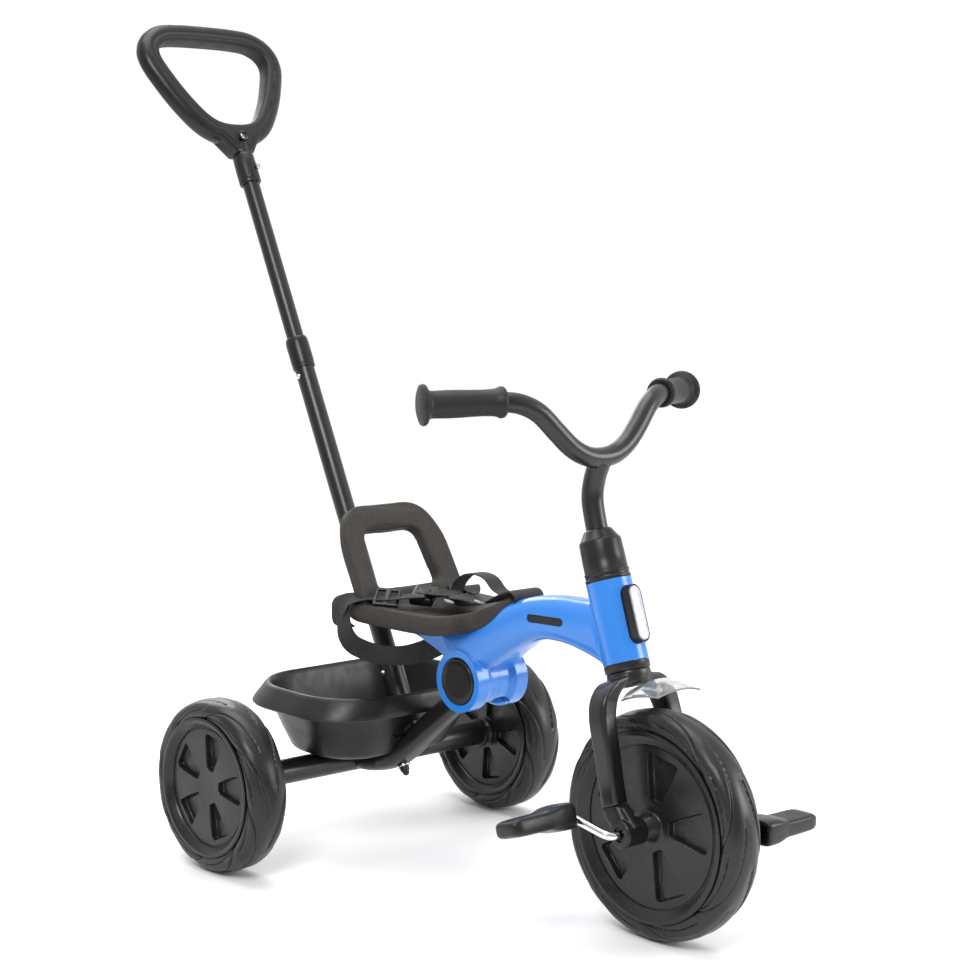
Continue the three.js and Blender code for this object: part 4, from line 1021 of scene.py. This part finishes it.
def make_rear_frame():
    look("rear_stay", rear_stay(), "rear_frame", STEEL, sharp=40)
    tube = [(-TUBE_END, 13), (-TUBE_END, 14.6), (-TUBE_END + 0.5, 15), (TUBE_END - 0.5, 15),
            (TUBE_END, 14.6), (TUBE_END, 13)]
    at_axle = Matrix.Translation(REAR_AXLE)
    look("axle_tube", moved(turned(tube, 72), at_axle), "rear_frame", STEEL)
    for name, side in SIDES:
        e = TUBE_END
        ring = [(e - 14, 5.3), (e - 14, 12.6), (e + 0.3, 12.6), (e + 0.3, 17.4), (e + 0.9, 18.3),
                (e + 1.7, 18.5), (e + 2.0, 17.9), (e + 2.4, 17.9), (e + 2.7, 18.5), (e + 4.2, 18.4),
                (e + 4.9, 17.4), (e + 4.9, 12.4), (e + 6.2, 12.2), (e + 6.8, 11.6), (e + 6.8, 5.3)]
        shape = moved(turned([(side * x, r) for x, r in ring], 72), at_axle)
        look(f"axle_collar_{name}", shape, "rear_frame", BLACK)
    z = SOCKET_DEPTH
    r = SOCKET_R
    socket = raw(turned_up([(-14, 0), (-14, r - 0.6), (-13.4, r), (14, r), (14.6, r + 1), (22, r + 1),
                            (22.6, r), (z - 5.6, r), (z - 5, r + 0.7), (z - 1, r + 0.7), (z, r),
                            (z, 12.7), (0, 12.7), (0, 0)], 56))
    socket.data.transform(HANDLE)
    combine(socket, [stay(0.3)])
    look("handle_socket", socket, "rear_frame", STEEL)
    snap_pin("socket_snap_pin", r + 0.3, z - 20, "rear_frame")
    look("basket", basket(), "rear_frame", BASKET_BLACK, sharp=55)
    washer = turned_up([(-2.3, 5.8), (-2.3, 8.4), (-1.9, 8.8), (-0.7, 8.8), (-0.3, 8.4), (-0.3, 5.8)], 48)
    piece("basket_bolt_washer", moved(washer, BASKET_BOLT), "rear_frame", CHROME, slot="bare_steel")
    nut = turned_up([(-13.6, 0), (-13.4, 1.8), (-12.6, 3), (-10.8, 4), (-8, 4.6), (-7.4, 5.6), (-2.6, 6),
                     (-0.4, 5.7), (-0.4, 0)], 48)
    look("basket_bolt", moved(nut, BASKET_BOLT), "rear_frame", BLACK, slot="bare_steel")


def snap_pin(node, reach, height, body):
    """A sprung pin's domed head on the right side of the handle."""
    pin = [(-reach - 2.1, 0), (-reach - 2, 1.2), (-reach - 1.6, 2.2), (-reach - 0.9, 2.9), (-reach, 3.2),
           (-reach, 0)]
    shape = moved(turned(pin, 40), HANDLE @ Matrix.Translation((0, 0, height)))
    look(node, shape, body, CHROME)


# ---- push handle ---------------------------------------------------------------------------------

LOWER_TOP = 504
COLLAR_LOW = 471
COLLAR_HIGH = 512
UPPER_LOW = 336
NECK = 727
GRIP_LEAN = math.radians(3)
GRIP_DEPTH = 25
OPENING = ((16, 84), (37, 94), (57, 120), (74, 152), (84, 181), (74, 198), (44, 205))


def pipe(z0, z1, outer, inner):
    return turned_up([(z0, inner), (z0, outer - 0.4), (z0 + 0.4, outer), (z1 - 0.4, outer),
                      (z1, outer - 0.4), (z1, inner)], 56)


def opening_loop(grown, count=120):
    """The hand opening's outline in (x, height above the neck), moved outward."""
    loop = [(x, z, 0) for x, z in OPENING] + [(-x, z, 0) for x, z in reversed(OPENING)]
    path = curve_through(loop, 12, closed=True)
    n = len(path)
    points = []
    for k in range(count):
        i = k * n / count
        a, b = path[int(i) % n], path[(int(i) + 1) % n]
        here = a + (b - a) * (i - int(i))
        along = (path[(int(i) + 2) % n] - path[int(i) - 1]).normalized()
        points.append((here.x + along.y * grown, here.y - along.x * grown))
    return points


def loop_band(profile):
    """A closed band round the hand opening: the profile is (outward, depth) points."""
    loops = [[(x, depth, z) for x, z in opening_loop(out)] for out, depth in profile]
    return skin(loops, caps=False, loop=True)


def slab_y(outline, y0, y1):
    return skin([[(x, y, z) for x, z in outline] for y in (y0, y1)])


def web(low, low_half, high, high_half, depth):
    outline = [(-low_half, low), (low_half, low), (high_half, high), (-high_half, high)]
    return slab_y(outline, -depth / 2, depth / 2)


def grip_core():
    d = GRIP_DEPTH / 2
    band = loop_band([(0, -d + 5), (0.8, -d + 2.4), (2.6, -d + 0.6), (5, -d), (9, -d), (10, -d + 0.4),
                      (10, d - 0.4), (9, d), (5, d), (2.6, d - 0.6), (0.8, d - 2.4), (0, d - 5)])
    obj = raw(band)
    plug = raw(web(52, 11, 108, 55, GRIP_DEPTH))
    combine(plug, [slab_y(opening_loop(6), -d - 2, d + 2)])
    return combine(obj, [plug], "UNION")


def grip_rim():
    d = (GRIP_DEPTH - 1) / 2
    band = loop_band([(10.3, -d), (13, -d - 0.6), (17.5, -d - 0.2), (21.6, -d + 1.6), (24.8, -d + 5),
                      (26.2, -3), (26.2, 3), (24.8, d - 5), (21.6, d - 1.6), (17.5, d + 0.2),
                      (13, d + 0.6), (10.3, d)])
    obj = raw(band)
    foot = raw(web(40.5, 13.5, 112, 67, GRIP_DEPTH - 1))
    modified(foot, ("BEVEL", {"width": 4.5, "segments": 5, "limit_method": "ANGLE"}))
    combine(foot, [slab_y(opening_loop(10.3), -d - 6, d + 6), web(51.7, 11.4, 108, 55.8, GRIP_DEPTH + 6)])
    return combine(obj, [foot], "UNION")


def screw_head(radius, height, cross):
    """A domed screw head with a cross recess, its top at z = height."""
    head = raw(turned_up([(0, 0), (0, radius - 0.4), (0.4, radius), (height * 0.55, radius),
                          (height * 0.9, radius * 0.7), (height, radius * 0.35), (height, 0)], 40))
    half = radius * 0.55
    combine(head, [block(-half, half, -cross, cross, height * 0.45, height + 1),
                   block(-cross, cross, -half, half, height * 0.45, height + 1)])
    return head


def make_handle():
    low, up = "handle_lower", "handle_upper"
    look("handle_lower_tube", moved(pipe(0.3, LOWER_TOP, 12.3, 11.1), HANDLE), low, STEEL)
    z = COLLAR_LOW
    ring = [(z, 12.6), (z, 13.4), (z + 0.6, 14), (z + 3.2, 14.2), (z + 3.8, 13.6), (z + 4.6, 13.6),
            (z + 5.2, 14.2), (z + 8, 14.4), (COLLAR_HIGH - 8, 14.4), (COLLAR_HIGH - 3, 13.9),
            (COLLAR_HIGH - 0.8, 13.2), (COLLAR_HIGH, 12.4), (COLLAR_HIGH, 11.1),
            (LOWER_TOP + 0.3, 11.1), (LOWER_TOP + 0.3, 12.6)]
    look("handle_collar", moved(turned_up(ring, 72), HANDLE), low, BLACK)
    look("handle_upper_tube", moved(pipe(UPPER_LOW, NECK + 57, 10.8, 9.6), HANDLE), up, STEEL)
    snap_pin("height_snap_pin", 12.6, COLLAR_LOW - 10, low)
    at_grip = HANDLE @ Matrix.Translation((0, 0, NECK)) @ Matrix.Rotation(-GRIP_LEAN, 4, "X")
    tube_room = moved(rod_up(-60, 60, 11.1, 48), HANDLE @ Matrix.Translation((0, 0, NECK)))
    clamp_room = moved(rod_up(NECK - 60, NECK + 40.3, 16.5, 48), HANDLE)
    core = placed(grip_core(), at_grip)
    combine(core, [tube_room])
    look("grip_core", core, up, GRIP, bevel=0.5)
    rim = placed(grip_rim(), at_grip)
    combine(rim, [tube_room, clamp_room])
    look("grip_rim", rim, up, BLACK, bevel=0.5)
    z = NECK
    clamp = raw(turned_up([(z, 0), (z, 13.2), (z + 0.7, 13.9), (z + 3.4, 14.2), (z + 4.2, 13.5),
                           (z + 5.2, 13.5), (z + 6, 14.1), (z + 7.6, 14.1), (z + 8.4, 13.5),
                           (z + 9.4, 13.5), (z + 10.2, 14.1), (z + 24, 14), (z + 38, 13.6),
                           (z + 40, 12.8), (z + 40, 0)], 64))
    combine(clamp, [moved(tube_room, HANDLE.inverted()), block(-1, 1, 6, 20, NECK - 5, NECK + 26)])
    look("neck_clamp", placed(clamp, HANDLE), up, BLACK, bevel=0.4)
    facing = Vector((0, 0, 1)).rotation_difference(Vector((2, -3.6, 0))).to_matrix().to_4x4()
    bolt = screw_head(4, 3.4, 0.6)
    at_bolt = HANDLE @ Matrix.Translation((7.4, -13.3, NECK + 19)) @ facing
    look("clamp_bolt", placed(bolt, at_bolt), up, BARE)
    front = Matrix.Rotation(math.pi / 2, 4, "X")
    screw = screw_head(4, 3.2, 0.6)
    cup = turned_up([(-1, 4.3), (-1, 6.6), (0.4, 7), (1.2, 6.7), (1.5, 6.1), (1.2, 5.4), (0.3, 4.3)], 48)
    at_cup = HANDLE @ Matrix.Translation((0, -GRIP_DEPTH / 2 - 0.4, NECK + 63)) @ front
    piece("grip_screw_cup", moved(cup, at_cup), up, BLACK)
    at_screw = HANDLE @ Matrix.Translation((0, -GRIP_DEPTH / 2 + 3.6, NECK + 63)) @ front
    look("grip_screw", placed(screw, at_screw), up, BARE)


# ---- seat ----------------------------------------------------------------------------------------

SEAT_LEAN = math.radians(30)
SEAT_BACK_FOOT = (0, -73, 297)
PAN = ((0, -278), (20, -274), (33, -256), (42, -232), (68, -214), (82, -176), (87, -112), (86, -70),
       (68, -47), (0, -43))
PAN_MIDDLE = -160


def pan_height(y, level):
    return level + 0.0045 * max(0, -190 - y) ** 2


def seat_pan():
    half = curve_through([(x, y, 0) for x, y in PAN[1:-1]], 6)
    outline = [(0.01, PAN[0][1])] + [(p.x, p.y) for p in half] + [(0.01, PAN[-1][1])]
    loop = outline + [(-x, y) for x, y in reversed(outline)]
    rings = []
    for shrink, level in ((0.14, 290), (0.06, 291), (0.02, 294), (0, 298), (0, 303), (0.012, 307),
                          (0.03, 310.4), (0.045, 312.6), (0.07, 313.4), (0.16, 313.2), (0.22, 312),
                          (0.28, 310.2), (0.36, 309.6), (0.6, 309.2), (0.9, 309)):
        ring = []
        for x, y in loop:
            px, py = x * (1 - shrink), PAN_MIDDLE + (y - PAN_MIDDLE) * (1 - shrink)
            ring.append((px, py, pan_height(py, level)))
        rings.append(ring)
    return skin(rings)


def seat_back():
    outer = rounded(((-80, 0, 8), (80, 0, 8), (77, 84, 16), (58, 131, 28), (-58, 131, 28), (-77, 84, 16)))
    hole = rounded(((-50, 24, 13), (50, 24, 13), (43, 98, 15), (-43, 98, 15)))
    middle = Vector((0, 62))

    def rings(outline, steps):
        return [[(p.x, -depth - 0.0012 * p.x ** 2, p.y) for p in grown(outline, growth, middle)]
                for depth, growth in steps]

    shell = raw(skin(rings(outer, ((0, -3), (1, -0.8), (3, 0), (14, 0), (15.6, -0.5), (16.6, -1.6),
                                   (17, -3.2)))))
    combine(shell, [skin(rings(hole, ((-4, 4), (0, 1.6), (1.4, 0.3), (3, 0), (14, 0), (15.4, 0.5),
                                      (16.4, 1.6), (17.2, 3.4), (21, 8))))])
    shell.data.transform(Matrix.Translation(SEAT_BACK_FOOT) @ Matrix.Rotation(-SEAT_LEAN, 4, "X"))
    return shell


def make_seat():
    pan = raw(seat_pan())
    combine(pan, [seat_back()], "UNION")
    modified(pan, ("REMESH", {"mode": "VOXEL", "voxel_size": 1.3, "use_smooth_shade": True}),
             ("SMOOTH", {"factor": 0.5, "iterations": 2}))
    combine(pan, [beam(-0.5)])
    look("seat_shell", pan, "main_frame", SEAT, sharp=55)


# ---- harness -------------------------------------------------------------------------------------

STRAP_THICK = 2


def strap(route, width):
    """Webbing along a route, whose points are a place and the way the strap's face looks there."""
    path = curve_through([p[:3] for p in route], 10)
    leans = curve_through([p[3:] for p in route], 10)
    rings = []
    for i, p in enumerate(path):
        along = (path[min(i + 1, len(path) - 1)] - path[max(i - 1, 0)]).normalized()
        face = (leans[i] - along * leans[i].dot(along)).normalized()
        side = along.cross(face)
        rings.append([p + side * a + face * b for a, b in oval(width / 2, STRAP_THICK / 2, 5, 20)])
    return skin(rings)


def ladder_lock(width, length):
    """A strap adjuster: a frame with a middle bar."""
    body = raw(block(-width / 2, width / 2, -length / 2, length / 2, 0, 4))
    slots = [block(-width / 2 + 4, width / 2 - 4, y0, y1, -2, 6)
             for y0, y1 in ((-length / 2 + 3.2, -3), (3, length / 2 - 3.2))]
    combine(body, slots)
    return bevelled(body, 1.1, 3)


def side_buckle():
    """A centre-release buckle: a body with a raised push button in a recess."""
    body = bevelled(raw(block(-19, 19, -14, 14, 0, 11)), 3.2, 4)
    combine(body, [block(-7.5, 7.5, -7.5, 7.5, 9, 14)])
    button = bevelled(raw(block(-6.9, 6.9, -6.9, 6.9, 8, 12)), 1.2, 3)
    return combine(body, [button], "UNION")


def strap_plate(name, place, turn, tilt):
    """A small pale slide on the straps."""
    plate = bevelled(raw(block(-6.5, 6.5, -4, 4, 0, 2.6)), 0.9, 3)
    plate.data.transform(Matrix.Translation(place) @ Matrix.Rotation(turn, 4, "Z") @ Matrix.Rotation(tilt,
                                                                                                     4,
                                                                                                     "X"))
    piece(name, plate, "main_frame", PLATE)


def make_harness():
    body = "main_frame"
    start = [(-89, -50, 297, -1, 0.1, 0.1), (-89, -58, 309, -1, 0, 0.5), (-83, -68, 317, -0.5, 0, 1),
             (-70, -84, 319, 0, 0, 1), (-56, -106, 320, 0, 0, 1), (-40, -126, 324, 0, 0, 1),
             (-24, -128, 322, 0, 0, 1)]
    look("strap_lap_right", strap(start, 28), body, WEBBING)
    wrap = [(-64, -58, 314, 0, 0, 1), (-76, -57, 316.5, -0.2, 0, 1), (-87, -56, 312, -0.8, 0, 0.6),
            (-90, -57, 300, -1, 0, 0), (-89, -58, 288, -1, 0, -0.2), (-80, -60, 283, -0.6, 0, -0.8)]
    piece("strap_wrap", strap(wrap, 32), body, WEBBING)
    lock = ladder_lock(32, 30)
    outward = Vector((0.73, -0.68, 0))
    lock.data.transform(Matrix.Translation((-60, -106, 320)) @ Matrix.Rotation(math.radians(28), 4, outward)
                        @ Matrix.Rotation(math.radians(40), 4, "Z"))
    look("strap_adjuster", lock, body, BLACK)
    buckle = side_buckle()
    buckle.data.transform(Matrix.Translation((-18, -124, 317)) @ Matrix.Rotation(math.radians(16), 4,
                                                                                 outward)
                          @ Matrix.Rotation(math.radians(35), 4, "Z"))
    look("harness_buckle", buckle, body, BLACK)
    left = [(8, -128, 324, 0, 0, 1), (24, -134, 330, 0.2, 0, 1), (38, -140, 322, 0, 0, 1),
            (50, -128, 327, 0, 0.2, 1), (62, -104, 320, 0, 0, 1), (76, -80, 318, 0.3, 0, 1),
            (84, -64, 313, 1, 0, 0.6), (88, -54, 299, 1, 0, 0.2)]
    look("strap_lap_left", strap(left, 26), body, WEBBING)
    crotch = [(-6, -140, 322, 0, 0, 1), (-12, -160, 331, 0, 0, 1), (-4, -182, 321, 0, 0.2, 1),
              (-2, -206, 323, 0, 0, 1), (0, -232, 330, 0, 0, 1), (0, -254, 341, 0, 0.2, 1),
              (0, -272, 348, 0, -0.3, 1), (0, -282, 343, 0, -1, 0.5), (0, -280, 332, 0, -1, -0.2)]
    look("strap_crotch", strap(crotch, 46), body, WEBBING)
    loop = [(10, -148, 322, 0, -0.6, 1), (11, -154, 338, 0, 0.9, 0.4), (12, -168, 350, 0, 0.5, 0.9),
            (12, -188, 354, 0, 0.1, 1), (12, -206, 351, 0, -0.3, 1), (10, -222, 341, 0, -0.5, 1),
            (8, -238, 337, 0, 0, 1)]
    piece("strap_loop", strap(loop, 22), body, WEBBING)
    bunch = [(-16, -146, 327, 0, 0, 1), (-26, -162, 334, -0.3, 0, 1), (-14, -180, 327, 0.2, 0, 1),
             (-24, -196, 333, -0.2, 0.2, 1), (-16, -214, 327, 0, 0, 1)]
    piece("strap_slack", strap(bunch, 27), body, WEBBING)
    strap_plate("strap_plate_outer", (-44, -196, 327), math.radians(70), math.radians(14))
    strap_plate("strap_plate_inner", (-30, -232, 330), math.radians(80), math.radians(20))
    sling = [(-90, -62, 300, -1, 0, 0), (-92, -66, 288, -1, 0, 0), (-92, -72, 274, -1, -0.2, 0),
             (-84, -80, 262, -0.9, -0.5, -0.2), (-64, -96, 253, -0.8, -0.6, -0.3),
             (-44, -116, 252, -0.7, -0.6, -0.3), (-30, -140, 260, -0.8, -0.5, -0.2),
             (-24, -166, 274, -0.9, -0.3, 0)]
    piece("strap_sling", strap(sling, 26), body, WEBBING)


# ---- inner pieces that stay as the CAD has them --------------------------------------------------

INNER = ("head_tube", "headset_bearing_lower", "headset_bearing_upper", "spine_tube", "hinge_pin",
         "steerer_tube", "axle_rod")


def dress_inner():
    for node in INNER:
        for material_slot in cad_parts[node].material_slots:
            material_slot.material = BARE


# ---- stage ---------------------------------------------------------------------------------------


FLOOR = ((-1700, -1900), (1700, -1900), (1700, 1500), (-1700, 1500))
# Each lamp: name, place, side of its square in millimetres, power in watts.
LAMPS = (
    ("key", (-1900, -1500, 2300), 1000, 52), ("fill", (1750, -2300, 1100), 1200, 36),
    ("top", (0, 200, 2700), 1700, 34), ("rim", (900, 2200, 1800), 1500, 24),
)
LAMPS_AIM = Vector((0, -200, 350))
# The room light is stronger from behind and above the trike, seen by the photograph's camera, than
# from the camera's own side: (dot product with that way, strength) at each end.
ROOM_WAY = (-math.sin(CAMERA_AZIMUTH), math.cos(CAMERA_AZIMUTH), 0.6)
ROOM_DIM = (-0.35, 0.45)
ROOM_BRIGHT = (0.5, 1.06)


def make_floor():
    n = Nodes("floor", Base_Color=(0.93, 0.93, 0.935, 1), Roughness=0.7)
    n.roughness(n.noise(3, 2), 0.65, 0.75)
    floor = raw(skin([[(x, y, z) for x, y in FLOOR] for z in (-60, -0.2)]))
    floor.name = "floor"
    floor.data.transform(TO_ROW)
    floor.data.materials.append(n.material)


def make_room_light():
    world = bpy.data.worlds.new("studio")
    world.use_nodes = True
    tree = world.node_tree
    direction = tree.nodes.new("ShaderNodeTexCoord").outputs["Generated"]
    along = tree.nodes.new("ShaderNodeVectorMath")
    along.operation = "DOT_PRODUCT"
    along.inputs[1].default_value = ROOM_WAY
    level = tree.nodes.new("ShaderNodeMapRange")
    for end, (way, strength) in (("Min", ROOM_DIM), ("Max", ROOM_BRIGHT)):
        level.inputs[f"From {end}"].default_value = way
        level.inputs[f"To {end}"].default_value = strength
    tree.links.new(direction, along.inputs[0])
    tree.links.new(along.outputs["Value"], level.inputs["Value"])
    tree.links.new(level.outputs["Result"], tree.nodes["Background"].inputs["Strength"])
    tree.nodes["Background"].inputs["Color"].default_value = (1, 1, 1, 1)
    bpy.context.scene.world = world


def make_lamps():
    for name, place, size, power in LAMPS:
        data = bpy.data.lights.new(name, "AREA")
        data.shape = "SQUARE"
        data.size = size * MM
        data.energy = power
        lamp = bpy.data.objects.new(name, data)
        turn = (LAMPS_AIM - Vector(place)).to_track_quat("-Z", "Y").to_matrix().to_4x4()
        lamp.matrix_world = Matrix.Translation(TO_ROW @ Vector(place)) @ turn
        bpy.context.scene.collection.objects.link(lamp)


make_wheels()
make_cranks()
make_steering()
make_main_frame()
make_rear_frame()
make_handle()
make_seat()
make_harness()
dress_inner()
make_floor()
make_room_light()
make_lamps()
bpy.context.scene.view_settings.view_transform = "Standard"
